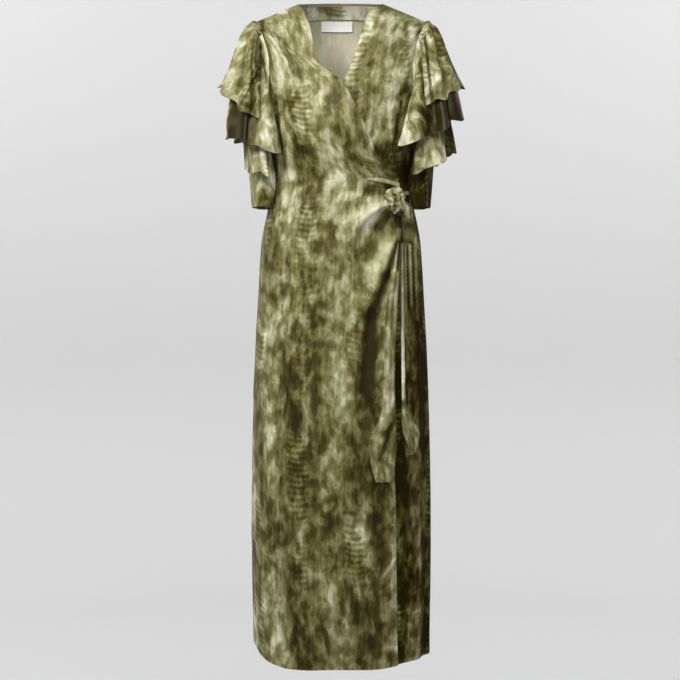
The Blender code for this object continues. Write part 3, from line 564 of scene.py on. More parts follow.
def satin(name, rows, roughness, gloss):
    """Printed satin: the tone's colours under a soft gloss, with its slubs as a bump."""
    finish, tree, shader = new_finish(name, {"Roughness": roughness, "Specular IOR Level": gloss,
                                             "Specular Tint": GLOSS_TINT})
    colour = tone_ramp(tree, print_tone(tree), rows)
    dyed = stretched(tree, colour, dye_drift(tree))
    tree.links.new(dyed, shader.inputs["Base Color"])
    tree.links.new(weave_bump(tree), shader.inputs["Normal"])
    return finish


def toned(rows, keep, towards):
    """A table of tones drawn towards one colour, as the print shows through from behind."""
    return [(row[0], *[keep * v + (1.0 - keep) * t for v, t in zip(row[1:4], towards)]) for row in rows]


WRONG_SIDE_GREY = (0.62, 0.59, 0.48)
# painted shade: SHADED_SIDE_GREY makes a darker copy of the wrong side for the insides of the sleeves and
# flounces
SHADED_SIDE_GREY = (0.23, 0.21, 0.14)
satin_face = satin("printed_satin", PRINT_TONES, 0.46, 0.2)
shaded_tones = toned(PRINT_TONES, 0.5, SHADED_SIDE_GREY)
satin_shaded = satin("printed_satin_shaded_side", shaded_tones, 0.62, 0.12)
satin_back = satin("printed_satin_wrong_side", toned(PRINT_TONES, 0.34, WRONG_SIDE_GREY), 0.62, 0.15)
satin_matte = satin("printed_satin_away_from_light", PRINT_TONES, 0.7, 0.03)
print("materials", [item.name for item in bpy.data.materials if item.name.startswith("printed")])

# %% [markdown]
# ## From grids to cloth
#
# A sheet is a grid of points with a UV map measured along the cloth. A Solidify modifier gives
# it the thickness of a hemmed satin and puts the wrong side on its inner face.

# %% Sheet maker
CLOTH_THICK = 0.0009


def cloth_uv(points, start, wrap=False):
    """Distance along each row from its middle, and mean distance up the columns."""
    steps = np.linalg.norm(np.diff(points, axis=1), axis=2)
    run = np.concatenate([np.zeros((len(points), 1)), np.cumsum(steps, axis=1)], axis=1)
    run = run - run[:, run.shape[1] // 2][:, None]
    rise = np.linalg.norm(np.diff(points, axis=0), axis=2).mean(axis=1)
    rise = np.concatenate([[0.0], np.cumsum(rise)])
    return np.stack([run + start[0], np.broadcast_to(rise[:, None] + start[1], run.shape)], axis=-1)


def sharpen_border(mesh, rows, columns):
    """Edges along the first or last row or column are sharp, so a cut edge stays crisp."""
    ends = np.empty(len(mesh.edges) * 2, dtype=np.int32)
    mesh.edges.foreach_get("vertices", ends)
    row, col = np.divmod(ends.reshape(-1, 2), columns)
    border = np.all(row == 0, axis=1) | np.all(row == rows - 1, axis=1)
    border |= np.all(col == 0, axis=1) | np.all(col == columns - 1, axis=1)
    mesh.attributes.new("sharp_edge", "BOOLEAN", "EDGE").data.foreach_set("value", border)


def cloth_mesh(name, points, uv, flip=False):
    """Quads between neighbouring grid points, smooth, with their UV map."""
    rows, columns = points.shape[:2]
    index = np.arange(rows * columns).reshape(rows, columns)
    corners = [index[:-1, :-1], index[:-1, 1:], index[1:, 1:], index[1:, :-1]]
    quads = np.stack(corners, axis=-1).reshape(-1, 4)
    if flip:
        quads = quads[:, ::-1]
    mesh = bpy.data.meshes.new(name)
    mesh.vertices.add(rows * columns)
    mesh.vertices.foreach_set("co", points.reshape(-1))
    mesh.loops.add(quads.size)
    mesh.loops.foreach_set("vertex_index", quads.reshape(-1).astype(np.int32))
    mesh.polygons.add(len(quads))
    mesh.polygons.foreach_set("loop_start", np.arange(0, quads.size, 4, dtype=np.int32))
    mesh.uv_layers.new(name="cloth")
    mesh.uv_layers["cloth"].data.foreach_set("uv", uv.reshape(-1, 2)[quads.reshape(-1)].reshape(-1))
    mesh.update(calc_edges=True)
    mesh.shade_smooth()
    sharpen_border(mesh, rows, columns)
    return mesh


def set_tone(mesh, label, tone):
    """One value at each point, as an attribute: painted light and shade in the print's tone, or the share
    of the print left plain.
    """
    count = len(mesh.vertices)
    values = np.broadcast_to(np.asarray(tone, dtype=np.float32).reshape(-1), count).copy()
    mesh.attributes.new(label, "FLOAT", "POINT").data.foreach_set("value", values)


def in_scene(name, points, uv, finishes, flip=False):
    """A named object of grid points in the scene, with its finishes."""
    item = bpy.data.objects.new(name, cloth_mesh(name, points, uv, flip))
    bpy.context.scene.collection.objects.link(item)
    for finish in finishes:
        item.data.materials.append(finish)
    print(name, points.shape[0], "by", points.shape[1], "points")
    return item


def stands_for(item, node_name, painted_shading, calm):
    """Painted light and shade and the plain share of the print as attributes, and what the frame is told
    of the piece.
    """
    set_tone(item.data, "painted_shading", painted_shading)
    set_tone(item.data, "calm", calm)
    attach(item, "root")
    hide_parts(node_name)


# painted light and shade for the sheet come in as a tone at each point
def cloth_sheet(name, points, start, node_name, flip=False, face=None, back=None,
                thick=CLOTH_THICK, painted_shading=0.0, calm=0.0):
    """A finished sheet of cloth that stands for one solid."""
    finishes = (face or satin_face, back or satin_back)
    item = in_scene(name, points, cloth_uv(points, start), finishes, flip)
    wall = item.modifiers.new("thickness", "SOLIDIFY")
    wall.thickness = thick
    wall.offset = -1.0
    wall.material_offset = 1
    wall.use_even_offset = False
    stands_for(item, node_name, painted_shading, calm)
    return item


# %% [markdown]
# ## Soft folds
#
# Drape is a sum of long soft ridges and troughs. Each row of a table is one fold: it starts,
# bends and ends at three places seen from the front, widens on its way and fades out. Their
# lengths, depths and spacing differ, because no two folds of hanging satin are alike.


# %% Fold tools
def fold_line(row):
    """Bend through three places: a curve of second order, as across and up."""
    t = np.linspace(0.0, 1.0, 33)[:, None]
    start, middle, end = np.array(row[0:2]), np.array(row[2:4]), np.array(row[4:6])
    control = 2 * middle - 0.5 * (start + end)
    return (1 - t) ** 2 * start + 2 * t * (1 - t) * control + t ** 2 * end, t[:, 0]


def fold_relief(points, table, fade_by=0.55, steep=1.0):
    """Bell of each fold's width about its line, narrower by a share on the right, fading to its end."""
    flat = points[..., [0, 2]].reshape(-1, 2)
    total = np.zeros(len(flat))
    for row in table:
        line, share = fold_line(row)
        course = unit(np.gradient(line, axis=0))
        reach = 3.0 * max(row[6], row[7])
        low, high = line.min(axis=0) - reach, line.max(axis=0) + reach
        near = np.all((flat > low) & (flat < high), axis=1)
        if not near.any():
            continue
        offset = flat[near][:, None, :] - line[None, :, :]
        distance = np.linalg.norm(offset, axis=2)
        nearest = np.argmin(distance, axis=1)
        each = np.arange(len(nearest))
        away = distance[each, nearest]
        place = share[nearest]
        gap, step = offset[each, nearest], course[nearest]
        beside = gap[:, 0] * step[:, 1] - gap[:, 1] * step[:, 0]
        narrow = np.where(beside * np.sign(step[:, 1]) > 0, steep, 1.0)
        width = (row[6] + (row[7] - row[6]) * place) * narrow
        total[near] += row[8] * (1.0 - fade_by * place) * np.exp(-(away / width) ** 2)
    return total.reshape(points.shape[:-1])


def line_marks(points, table):
    """A soft mark about each line, its width changing along it: painted light and shade, or the share of
    the print left plain.
    """
    flat = points[..., [0, 2]].reshape(-1, 2)
    total = np.zeros(len(flat))
    for x_start, z_start, x_end, z_end, width_start, width_end, tone in table:
        start, step = np.array([x_start, z_start]), np.array([x_end - x_start, z_end - z_start])
        share = np.clip((flat - start) @ step / (step @ step), 0.0, 1.0)
        away = np.linalg.norm(flat - start - share[:, None] * step, axis=1)
        total += tone * np.exp(-(away / (width_start + (width_end - width_start) * share)) ** 2)
    return total.reshape(points.shape[:-1])


# columns: direction_deg, length, phase, height
CLOTH_WAVES = (
    (12.0, 0.071, 0.3, 0.00035),
    (-23.0, 0.053, 1.9, 0.00028),
    (64.0, 0.094, 4.1, 0.0003),
    (-71.0, 0.118, 2.6, 0.0003),
    (31.0, 0.037, 5.2, 0.00016),
)


def cloth_waves(points):
    """Sum of long sine waves over the front view, each with its own direction, length and start."""
    total = np.zeros(points.shape[:-1])
    for turn, length, phase, height in CLOTH_WAVES:
        angle = math.radians(turn)
        run = points[..., 0] * math.cos(angle) + points[..., 2] * math.sin(angle)
        total += height * np.sin(2 * math.pi * run / length + phase)
    return total


# %% Folds of the skirt
# columns: x_start, z_start, x_mid, z_mid, x_end, z_end, width_start, width_end, height
DRAPE_FOLDS = metres((
    (90, -429, 52, -450, 18, -496, 13, 20, 21),
    (106, -482, 88, -548, 40, -650, 11, 23, 23),
    (107, -570, 96, -650, 78, -770, 8, 16, 10),
    (80, -406, 30, -412, -30, -430, 8, 16, 5),
    (20, -520, -14, -570, -36, -660, 18, 26, 5),
))
FINE_DRAPE = metres((
    (86, -416, 40, -422, -10, -424, 4.5, 9, 2.4),
    (84, -406, 45, -404, 0, -398, 3.5, 8, -2.2),
    (94, -444, 70, -472, 56, -510, 4, 8, -3),
    (98, -450, 78, -500, 50, -556, 4, 8, -2.6),
    (106, -470, 96, -500, 86, -530, 4, 7, 2.4),
    (104, -504, 90, -556, 74, -620, 4.5, 8, -4),
    (109, -500, 104, -560, 96, -640, 3, 6, 2.4),
    (108, -540, 99, -610, 90, -690, 3, 6, -2.6),
    (58, -640, 49, -730, 48, -830, 7, 13, -3.6),
    (64, -620, 38, -720, 18, -860, 9, 16, 2.6),
    (106, -640, 104, -760, 102, -880, 3.5, 6, -2.6),
    (88, -760, 84, -860, 86, -980, 6, 12, 2.6),
    (-30, -430, -52, -520, -60, -640, 10, 18, 1.8),
    (-70, -410, -88, -500, -92, -640, 9, 16, -1.8),
    (-110, -400, -128, -470, -138, -580, 8, 14, 2.4),
    (20, -820, 16, -1000, 18, -1240, 12, 20, 2),
    (-40, -740, -46, -980, -50, -1260, 14, 24, -2),
    (74, -920, 72, -1100, 74, -1330, 8, 14, -3),
    (92, -960, 92, -1150, 94, -1340, 5, 9, 2.6),
))
# painted light and shade on the over skirt: lighter bands where the drape folds face the light, darker
# ones where they turn away, and broad darker patches lower down
# columns: x_start, z_start, x_end, z_end, width_start, width_end, tone
DRAPE_PAINTED_SHADING = metres((
    (86, -423, 33, -452, 9, 14, 0.3),
    (54, -398, 96, -404, 11, 11, -0.36),
    (60, -450, 20, -492, 12, 19, 0.22),
    (0, -640, 0, -900, 90, 100, -0.06),
    (-90, -640, -90, -880, 50, 50, -0.05),
    (90, -670, 88, -800, 13, 14, 0.18),
    (64, -450, 48, -470, 8, 10, 0.18),
    (94, -450, 72, -472, 6, 8, -0.36),
    (72, -472, 60, -510, 8, 9, -0.18),
    (48, -520, 26, -550, 12, 14, -0.2),
    (102, -466, 98, -500, 7, 7, -0.26),
    (90, -512, 60, -556, 8.5, 11, 0.22),
    (54, -560, 28, -615, 12, 14, 0.12),
    (103, -508, 86, -570, 6, 10, -0.4),
    (86, -570, 60, -650, 10, 14, -0.34),
    (60, -650, 49, -820, 9, 12, -0.26),
    (108, -650, 80, -740, 9, 11, 0.12),
    (80, -960, 76, -1320, 16, 26, -0.24),
    (30, -1000, 20, -1340, 50, 60, -0.1),
    (-90, -760, -90, -1340, 70, 90, -0.12),
    (78, -720, 64, -1000, 30, 40, -0.12),
    (-80, -390, -105, -415, 8, 16, 0.16),
    (-40, -450, -30, -560, 20, 26, -0.1),
    (0, -1120, 20, -1290, 18, 20, 0.1),
    (86, -1320, 126, -1328, 8, 8, 0.26),
    (105, -1142, 80, -1178, 4, 5, 0.32),
), plain=1)

# where the satin is stretched smooth and its print hardly shows, columns as above
CALM_MARKS = metres((
    (98, -458, 140, -470, 14, 18, 1),
    (90, -450, 76, -460, 7, 9, 0.6),
    (86, -423, 40, -450, 8, 12, 0.45),
    (96, -470, 78, -530, 6, 9, 0.45),
    (100, -520, 70, -620, 8, 10, 0.6),
    (90, -512, 56, -564, 9, 11, 0.4),
    (64, -506, 50, -536, 10, 11, 0.5),
    (132, -520, 136, -640, 24, 28, 0.7),
), plain=1)
KNOT_SHADE = metres((
    (98, -440, 126, -442, 5, 6, -0.32),
    (102, -470, 140, -472, 13, 15, -0.08),
    (136, -440, 140, -462, 10, 10, -0.2),
    (101, -510, 125, -498, 3, 3.6, -0.3),
    (125, -498, 145, -500, 3, 3, -0.3),
), plain=1)
KNOT_CREASES = metres((
    (145, -500, 123, -496, 101, -512, 4, 4.6, -2.4),
    (150, -486, 126, -482, 103, -496, 5, 5, 2),
))

# columns: angle_deg, half_angle_deg, top_height, height_at_hem
SKIRT_FLUTES = (
    (-72.0, 9.0, -0.75, 0.003),
    (-50.0, 8.0, -0.85, -0.003),
    (-18.0, 10.0, -0.7, 0.0035),
    (6.0, 8.0, -0.9, -0.0025),
    (24.0, 8.0, -0.8, 0.0035),
    (56.0, 6.0, -0.46, 0.004),
    (68.0, 5.0, -0.5, -0.0035),
    (79.0, 5.0, -0.46, 0.0035),
    (112.0, 10.0, -0.62, 0.0045),
    (138.0, 9.0, -0.6, -0.0035),
    (162.0, 9.0, -0.62, 0.005),
    (-172.0, 8.0, -0.6, -0.0035),
    (-150.0, 9.0, -0.62, 0.0045),
    (-118.0, 10.0, -0.62, -0.003),
)


def calm_marks(points):
    """Share of the print that is plain at each point, at most all of it."""
    return np.minimum(line_marks(points, CALM_MARKS), 1.0)


def flute_relief(angle, height):
    """Bells about upright lines, growing from their tops to the hem."""
    total = np.zeros(np.broadcast(angle, height).shape)
    for centre, half, top, rise in SKIRT_FLUTES:
        away = (np.degrees(angle) - centre + 180.0) % 360.0 - 180.0
        total += rise * ease(-height, -top, 1.36) * np.exp(-(away / half) ** 2)
    return total


PUCKER_COUNT = 260.0
PUCKER_HEIGHT = 0.0006


def seam_puckers(across, distance, reach):
    """Small ripples across a seam that die out within a reach of it."""
    run = PUCKER_COUNT * across
    wave = np.sin(run + 1.7 * np.sin(0.37 * run)) + 0.5 * np.sin(1.7 * run + 2.0)
    return PUCKER_HEIGHT * wave * np.exp(-(distance / reach) ** 2)


def over_share(angle):
    """Full where the over layer lies on the under layer, none at its own side seam."""
    return ease(angle, UNDER_EDGE - UNDER_MARGIN, UNDER_EDGE)


# %% [markdown]
# ## Bodice
#
# Two fronts cross at the neck and one back closes them at the sides and shoulders. The over
# front runs from the right side seam to the long neck edge, which ends in the knot. Soft folds
# are pulled up from the knot towards the bust.

# %% Bodice fronts
# painted light and shade on the bodice: shadow lines beside the sleeves' front edges and the armholes, a
# shaded hollow below the bust on the knot side, and lighter patches where the cloth faces the light
# columns: x_start, z_start, x_end, z_end, width_start, width_end, tone
BODICE_PAINTED_SHADING = metres((
    (72, -318, 118, -352, 14, 17, -0.42),
    (90, -300, 112, -310, 10, 12, -0.14),
    (-80, -362, -108, -370, 10, 14, 0.16),
    (56, -393, 96, -396, 9, 9, -0.38),
    (130, -365, 144, -395, 12, 14, -0.34),
    (-74, -50, -48, -125, 10, 11, 0.15),
    (-100, -120, -100, -300, 30, 30, -0.07),
    (64, -50, 25, -145, 10, 10, 0.14),
    (-164, -45, -164, -240, 4, 5, -0.34),
    (164, -45, 164, -240, 4, 5, -0.1),
    (149, -60, 145, -170, 10, 12, 0.32),
    (-137, -198, -115, -346, 3, 4, -0.34),
    (123, -215, 108, -302, 3, 4, -0.34),
    (114, -30, 102, -150, 4, 6, -0.14),
), plain=1)
# columns: x_start, z_start, x_mid, z_mid, x_end, z_end, width_start, width_end, height
BODICE_FOLDS = metres((
    (100, -384, 90, -345, 62, -305, 6, 14, -4),
    (92, -386, 62, -356, 22, -330, 6, 14, 3),
    (88, -388, 40, -372, -30, -362, 5, 11, -2.6),
    (78, -376, 20, -350, -40, -338, 5, 12, 1.6),
    (60, -330, 30, -290, -10, -260, 7, 14, -2.2),
    (-60, -372, -62, -330, -58, -280, 6, 14, 2.2),
    (-88, -370, -94, -330, -100, -280, 6, 13, -2.4),
    (-28, -376, -26, -340, -18, -300, 6, 12, -1.6),
    (-118, -368, -122, -320, -126, -260, 6, 12, 2.6),
    (-136, -190, -130, -230, -122, -290, 7, 12, -2.6),
    (-144, -100, -134, -150, -124, -210, 6, 12, 2.6),
    (-150, -60, -120, -110, -92, -170, 6, 16, -1.6),
    (-88, -40, -74, -100, -60, -160, 7, 14, 1.4),
))
UNDER_FOLDS = metres((
    (112, -386, 116, -350, 104, -300, 6, 12, -3),
    (128, -382, 128, -340, 118, -280, 6, 12, 2.6),
    (134, -300, 110, -260, 76, -226, 6, 14, -3),
    (140, -260, 112, -220, 80, -186, 6, 14, 2.4),
    (144, -110, 134, -160, 126, -220, 6, 12, 2.6),
    (138, -170, 126, -210, 112, -250, 6, 12, -2.4),
    (120, -50, 100, -110, 84, -180, 6, 15, -1.6),
    (88, -40, 70, -100, 52, -160, 6, 13, 1.4),
))


NECK_EDGE_SINK = 0.003
NECK_END_RISE = 0.01
PANEL_CROWD = 1.3
OVER_SINK = 0.0024
UNDER_SWING = 0.003
EDGE_CELLS = 5


def lifted(points, lift):
    """Points moved out along the surface by a lift."""
    return points + grid_normals(points) * lift[..., None]


def panel_shares(columns, rows):
    """Even shares across a panel, and shares up it that crowd towards its top."""
    return np.linspace(0.0, 1.0, columns), 1.0 - (1.0 - np.linspace(0.0, 1.0, rows)) ** PANEL_CROWD


def side_and_armhole(angle, low, armhole):
    """Upright side seam from the waist to the underarm, then the armhole to the shoulder."""
    return np.concatenate([side_line(angle, low, UNDERARM_HEIGHT)[:-1], armhole])


def bodice_grid(sign, end, neck_table, columns, rows):
    """Front on the side of the sign: waist, side and armhole, neck edge and shoulder, blended."""
    side = sign * (math.pi / 2 - SIDE_GAP)
    bottom = seam_between(side, end)
    bottom[:, 1] += SEAM_GAP
    armhole = armhole_line(sign, False)[::-1]
    armhole[:, 0] = sign * np.minimum(sign * armhole[:, 0], sign * side)
    neck = neck_line(neck_table)[::-1]
    if sign < 0:
        # the over front's neck edge ends in the knot
        neck[0] = (end, bottom[-1, 1] + NECK_END_RISE)
    outer = side_and_armhole(side, bottom[0, 1], armhole)
    inner = np.concatenate([[bottom[-1]], neck])
    top = shoulder_line(sign, False)[::-1]
    return patch(bottom, top, outer, inner, *panel_shares(columns, rows))


def edge_hold(grid, edges):
    """Share that fades folds to nothing at the named edges of a grid."""
    rows, columns = grid.shape[:2]
    row, col = np.arange(rows)[:, None], np.arange(columns)[None, :]
    share = {"low": row, "high": rows - 1 - row, "first": col, "last": columns - 1 - col}
    hold = np.ones((rows, columns))
    for edge in edges:
        hold = hold * ease(share[edge], 0, EDGE_CELLS)
    return hold


grid = bodice_grid(-1.0, KNOT_ANGLE, NECK_OVER, 132, 120)
over_body = torso(grid[..., 0], grid[..., 1])
over_body[-1, :, 1] -= SEAM_GAP / 2
crossing = ease(-grid[..., 1], 0.06, 0.13)
near_neck = ease(np.linspace(0.0, 1.0, 132), 0.86, 1.0)[None, :] * ease(-grid[..., 1], 0.02, 0.1)
over_lift = (WALL + LAYER_GAP - NECK_EDGE_SINK * near_neck) * over_share(grid[..., 0]) * crossing
over_hold = edge_hold(over_body, ("low", "high", "first"))
over_soft = fold_relief(over_body, BODICE_FOLDS) + cloth_waves(over_body)
above_waist = over_body[..., 2] - over_body[0, :, 2][None, :]
over_soft = over_soft + seam_puckers(over_body[..., 0], above_waist, 0.02)
over_soft = np.maximum(over_soft * over_hold, -OVER_SINK)
bodice_over = cloth_sheet("cloth_bodice_over", lifted(over_body, over_lift + over_soft), (0.0, 0.98),
                          "bodice_front_over",
                          painted_shading=line_marks(over_body, BODICE_PAINTED_SHADING))

grid = bodice_grid(1.0, UNDER_EDGE, NECK_UNDER, 110, 110)[:, ::-1]
under_body = torso(grid[..., 0], grid[..., 1])
under_body[-1, :, 1] -= SEAM_GAP / 2
covered = 1.0 - over_share(grid[..., 0]) * ease(-grid[..., 1], 0.13, 0.2) * (grid[..., 0] < 0.3)
under_soft = fold_relief(under_body, UNDER_FOLDS) * edge_hold(under_body, ("low", "high", "last"))
under_soft = np.clip(under_soft * covered, -UNDER_SWING, UNDER_SWING)
bodice_under = cloth_sheet("cloth_bodice_under", lifted(under_body, under_soft), (0.31, 1.02),
                           "bodice_front_under",
                           painted_shading=line_marks(under_body, BODICE_PAINTED_SHADING))


# %% Bodice back
# painted sheen and shade: print tone gained per metre a fold rises, so ridges are lighter and troughs
# darker
FOLD_PAINTED_SHEEN = 75.0
# columns: x_start, z_start, x_mid, z_mid, x_end, z_end, width_start, width_end, height
BACK_FOLDS = metres((
    (110, -366, 112, -320, 108, -260, 6, 14, 2.6),
    (70, -368, 74, -320, 72, -250, 6, 14, -2.4),
    (26, -368, 28, -330, 24, -270, 6, 13, 2.2),
    (-22, -368, -24, -325, -22, -262, 6, 13, -2),
    (-66, -368, -70, -320, -70, -250, 6, 14, 2.6),
    (-112, -366, -114, -310, -110, -250, 6, 14, -2.4),
    (142, -120, 126, -170, 104, -220, 6, 15, 2.4),
    (-142, -120, -126, -170, -104, -220, 6, 15, 2.4),
    (130, -60, 100, -100, 60, -130, 8, 18, -1.2),
    (-130, -60, -100, -100, -60, -130, 8, 18, -1.2),
))


def back_neck_height(across):
    """Arch of second order over the back neck."""
    return NECK_BACK_RISE * (1.0 - (across / NECK_HALF) ** NECK_BACK_ARCH)


def back_neck_line():
    """Back neck edge from the left neck point to the right one."""
    across = np.linspace(NECK_HALF, -NECK_HALF, 41)
    return edge_line(across, back_neck_height(across), behind=True)


def back_grid(columns, rows):
    """Back from the left side seam to the right one, under shoulders and back neck."""
    side = math.pi / 2 + SIDE_GAP
    angle = np.linspace(side, 2 * math.pi - side, 61)
    height = waist_height(wrapped(angle)) + SEAM_GAP
    bottom = np.stack([angle, height], axis=1)
    armhole = armhole_line(1.0, True)[::-1]
    armhole[:, 0] = np.maximum(armhole[:, 0], side)
    left, right = [side_and_armhole(side, bottom[end, 1], armhole) for end in (0, -1)]
    right[:, 0] = 2 * math.pi - right[:, 0]
    first = shoulder_line(1.0, True)[::-1]
    last = shoulder_line(1.0, True)
    last[:, 0] = 2 * math.pi - last[:, 0]
    top = np.concatenate([first[:-1], back_neck_line(), last[1:]])
    return patch(bottom, top, left, right, *panel_shares(columns, rows))


grid = back_grid(150, 104)
back_body = torso(grid[..., 0], grid[..., 1])
back_body[-1, :, 1] += SEAM_GAP / 2
back_soft = fold_relief(back_body, BACK_FOLDS) * edge_hold(back_body, ("low", "high", "first", "last"))
back_soft = back_soft * ease(-back_body[..., 2], 0.05, 0.09)
back_shape = lifted(back_body, back_soft)
# painted sheen on the back's fold ridges and painted shade in its troughs
bodice_back = cloth_sheet("cloth_bodice_back", back_shape, (0.62, 1.0), "bodice_back",
                          painted_shading=FOLD_PAINTED_SHEEN * back_soft)


# %% [markdown]
# ## Skirt
#
# The over skirt starts at the right side seam and ends in a free edge below the knot. Its folds
# fan out of the knot, and further down the cloth falls in shallow flutes. The under skirt shows
# beside the free edge with crowded upright streaks, and the back skirt hangs in deeper flutes.


# %% Skirt grids
def skirt_grid(start, end, columns, rows, free_edge=False, crowd=0.0):
    """Rows from the waist to the hem, columns from one angle to the other, crowded to the last."""
    share = np.linspace(0.0, 1.0, rows) ** 1.15
    across = np.linspace(0.0, 1.0, columns)
    across = (1.0 + crowd) * across - crowd * across ** 2
    last = np.full(rows, end)
    if free_edge:
        level = -0.385 - 0.975 * share
        last = np.radians(smooth(level, column(FREE_EDGE, 0), column(FREE_EDGE, 1)))
    angle = start + across[None, :] * (last[:, None] - start)
    waist = waist_height(wrapped(angle)) - SEAM_GAP
    hem = hem_height(wrapped(angle))
    height = waist + share[:, None] * (hem - waist)
    return angle[::-1], height[::-1]


# how far the over skirt stands off below the waist, and how near it may come to the under layer
SETTLE_OUT = 0.002
OVER_CLEAR = 0.0035
# how far a trough of the drape and of a flute may sink
FOLD_SINK = 0.0018
FLUTE_SINK = 0.0012
angle, height = skirt_grid(-math.pi / 2 + SIDE_GAP, 0.0, 150, 250, True)
skirt_body = torso(angle, height)
stack = over_share(angle)
settle = ease(-height, 0.376, 0.44)
big_folds = np.maximum(fold_relief(skirt_body, DRAPE_FOLDS, 0.45, 0.6), -FOLD_SINK)
flutes = np.maximum(flute_relief(angle, height), -FLUTE_SINK)
fine = fold_relief(skirt_body, FINE_DRAPE + KNOT_CREASES) + cloth_waves(skirt_body)
below_waist = skirt_body[-1, :, 2][None, :] - skirt_body[..., 2]
fine = fine + seam_puckers(skirt_body[..., 0], below_waist, 0.022)
fine = fine * edge_hold(skirt_body, ("high", "first"))
lift = stack * (WALL + LAYER_GAP + SETTLE_OUT * settle) + stack * settle * big_folds + stack * flutes
lift = np.maximum(lift + fine, OVER_CLEAR * stack)
skirt_over = cloth_sheet("cloth_skirt_over", lifted(skirt_body, lift), (0.0, 0.0),
                         "skirt_front_over",
                         painted_shading=line_marks(skirt_body, DRAPE_PAINTED_SHADING + KNOT_SHADE),
                         calm=calm_marks(skirt_body))

# %% Under skirt
# columns: x_start, z_start, x_mid, z_mid, x_end, z_end, width_start, width_end, height
STREAK_FOLDS = metres((
    (112, -470, 114, -560, 112, -680, 3, 5, 3.6),
    (119, -450, 121, -540, 120, -700, 2.5, 4.5, -3.6),
    (126, -440, 128, -540, 128, -660, 2.5, 4.5, 3.8),
    (133, -440, 136, -560, 137, -720, 3, 5, -3.6),
    (140, -430, 144, -540, 146, -680, 2.8, 4.5, 3.4),
    (147, -440, 152, -560, 155, -740, 2.8, 5, -3),
    (118, -700, 116, -860, 114, -1060, 4.5, 9, -3),
    (130, -680, 131, -840, 132, -1040, 4.5, 9, 3.2),
    (146, -700, 149, -900, 150, -1140, 5, 9, -3.2),
    (122, -1020, 121, -1160, 120, -1330, 6, 10, 2.6),
))
# painted light and shade on the under skirt: the strip beside the free edge darkened as in shade, with
# light and dark lines along its upright folds
# columns: x_start, z_start, x_end, z_end, width_start, width_end, tone
STREAK_PAINTED_SHADING = metres((
    (118, -720, 115, -1340, 16, 20, -0.22),
    (162, -430, 170, -1340, 12, 20, -0.32),
    (142, -620, 142, -1300, 26, 34, -0.13),
    (132.5, -510, 134, -660, 2.2, 3, 0.34),
    (124.6, -514, 125, -620, 2.2, 2.6, 0.34),
    (140.8, -508, 144, -630, 2.4, 3, 0.32),
    (136.7, -508, 139, -640, 1.4, 1.8, -0.3),
    (129, -508, 129, -640, 1.4, 1.8, -0.3),
    (154, -490, 158, -660, 2.6, 3.4, 0.24),
    (140, -670, 142, -840, 26, 26, -0.14),
    (136, -510, 138, -640, 26, 26, -0.06),
    (147, -500, 151, -640, 1.6, 2.2, -0.26),
    (145, -700, 150, -820, 4, 6, 0.16),
    (142, -860, 156, -920, 6, 8, 0.2),
    (130, -930, 130, -1000, 22, 24, -0.16),
    (158, -1020, 160, -1200, 3, 4, 0.3),
    (106, -1252, 162, -1256, 2.4, 2.4, 0.26),
), plain=1)
angle, height = skirt_grid(UNDER_EDGE, math.pi / 2 - SIDE_GAP, 120, 200, crowd=0.6)
under_skirt_body = torso(angle, height)
edge = np.radians(smooth(height, column(FREE_EDGE, 0), column(FREE_EDGE, 1)))
seen = ease(angle - edge, 0.02, 0.14)
near_side = 1.0 - ease(angle, math.radians(84.0), math.radians(89.0))
streaks = fold_relief(under_skirt_body, STREAK_FOLDS, 0.4, 0.7) * ease(angle - edge, 0.0, 0.05)
creases = fold_relief(under_skirt_body, KNOT_CREASES, 0.2)
hold = near_side * edge_hold(under_skirt_body, ("high", "last"))
lift = (flute_relief(angle, height) * seen + streaks + creases) * hold
skirt_under = cloth_sheet("cloth_skirt_under", lifted(under_skirt_body, lift), (0.27, 0.06),
                          "skirt_front_under", face=satin_matte,
                          painted_shading=line_marks(under_skirt_body, STREAK_PAINTED_SHADING + KNOT_SHADE),
                          calm=calm_marks(under_skirt_body))

# %% Back skirt
angle, height = skirt_grid(math.pi / 2 + SIDE_GAP, 1.5 * math.pi - SIDE_GAP, 150, 200)
back_skirt_body = torso(angle, height)
seam = np.minimum(angle - math.pi / 2, 1.5 * math.pi - angle)
soft = cloth_waves(back_skirt_body) * edge_hold(back_skirt_body, ("high", "first", "last"))
below_seam = waist_height(wrapped(angle)) - height
lift = flute_relief(angle, height) * ease(seam, 0.0, 0.14) * ease(below_seam, 0.0, 0.05) + soft
print("back folds rise", round(float(lift.max()) * 1000, 1), "mm")
# painted sheen on the back skirt's flute ridges and painted shade in its troughs
skirt_back = cloth_sheet("cloth_skirt_back", lifted(back_skirt_body, lift), (0.7, 0.03),
                         "skirt_back", face=satin_matte,
                         painted_shading=FOLD_PAINTED_SHEEN * (lift - lift.mean()))

# %% [markdown]
# ## Sleeves
#
# The inner sleeve hangs from the armhole as a narrow tube. Around it three flounces are gathered
# onto lines at rising distances from the armhole. A flounce is a curve of second order from its
# gathered line to its hem, with a ripple that grows downwards.

# %% Sleeve sizes
# columns: turn_deg, out_top, drop_top, out_hem, rise_hem; the back half is the front half again
SLEEVE_HANDLES = (
    (0.0, 0.036, 0.024, 0.016, 0.17),
    (45.0, 0.03, 0.028, 0.012, 0.15),
    (90.0, 0.018, 0.04, 0.0, 0.12),
    (135.0, 0.004, 0.06, -0.022, 0.07),
    (180.0, 0.0, 0.07, -0.036, 0.06),
)
SLEEVE_HANDLES += tuple((360.0 - row[0], *row[1:]) for row in SLEEVE_HANDLES[-2::-1])
SLEEVE_HEM_HEIGHT = -0.427
SLEEVE_BODY_CLEAR = 0.003
SLEEVE_CROWD = 1.15
# hem centre across, half width across and half width front to back, for each side
SLEEVE_HEM = {"left": (0.1665, 0.0185, 0.062), "right": (0.161, 0.0235, 0.062)}

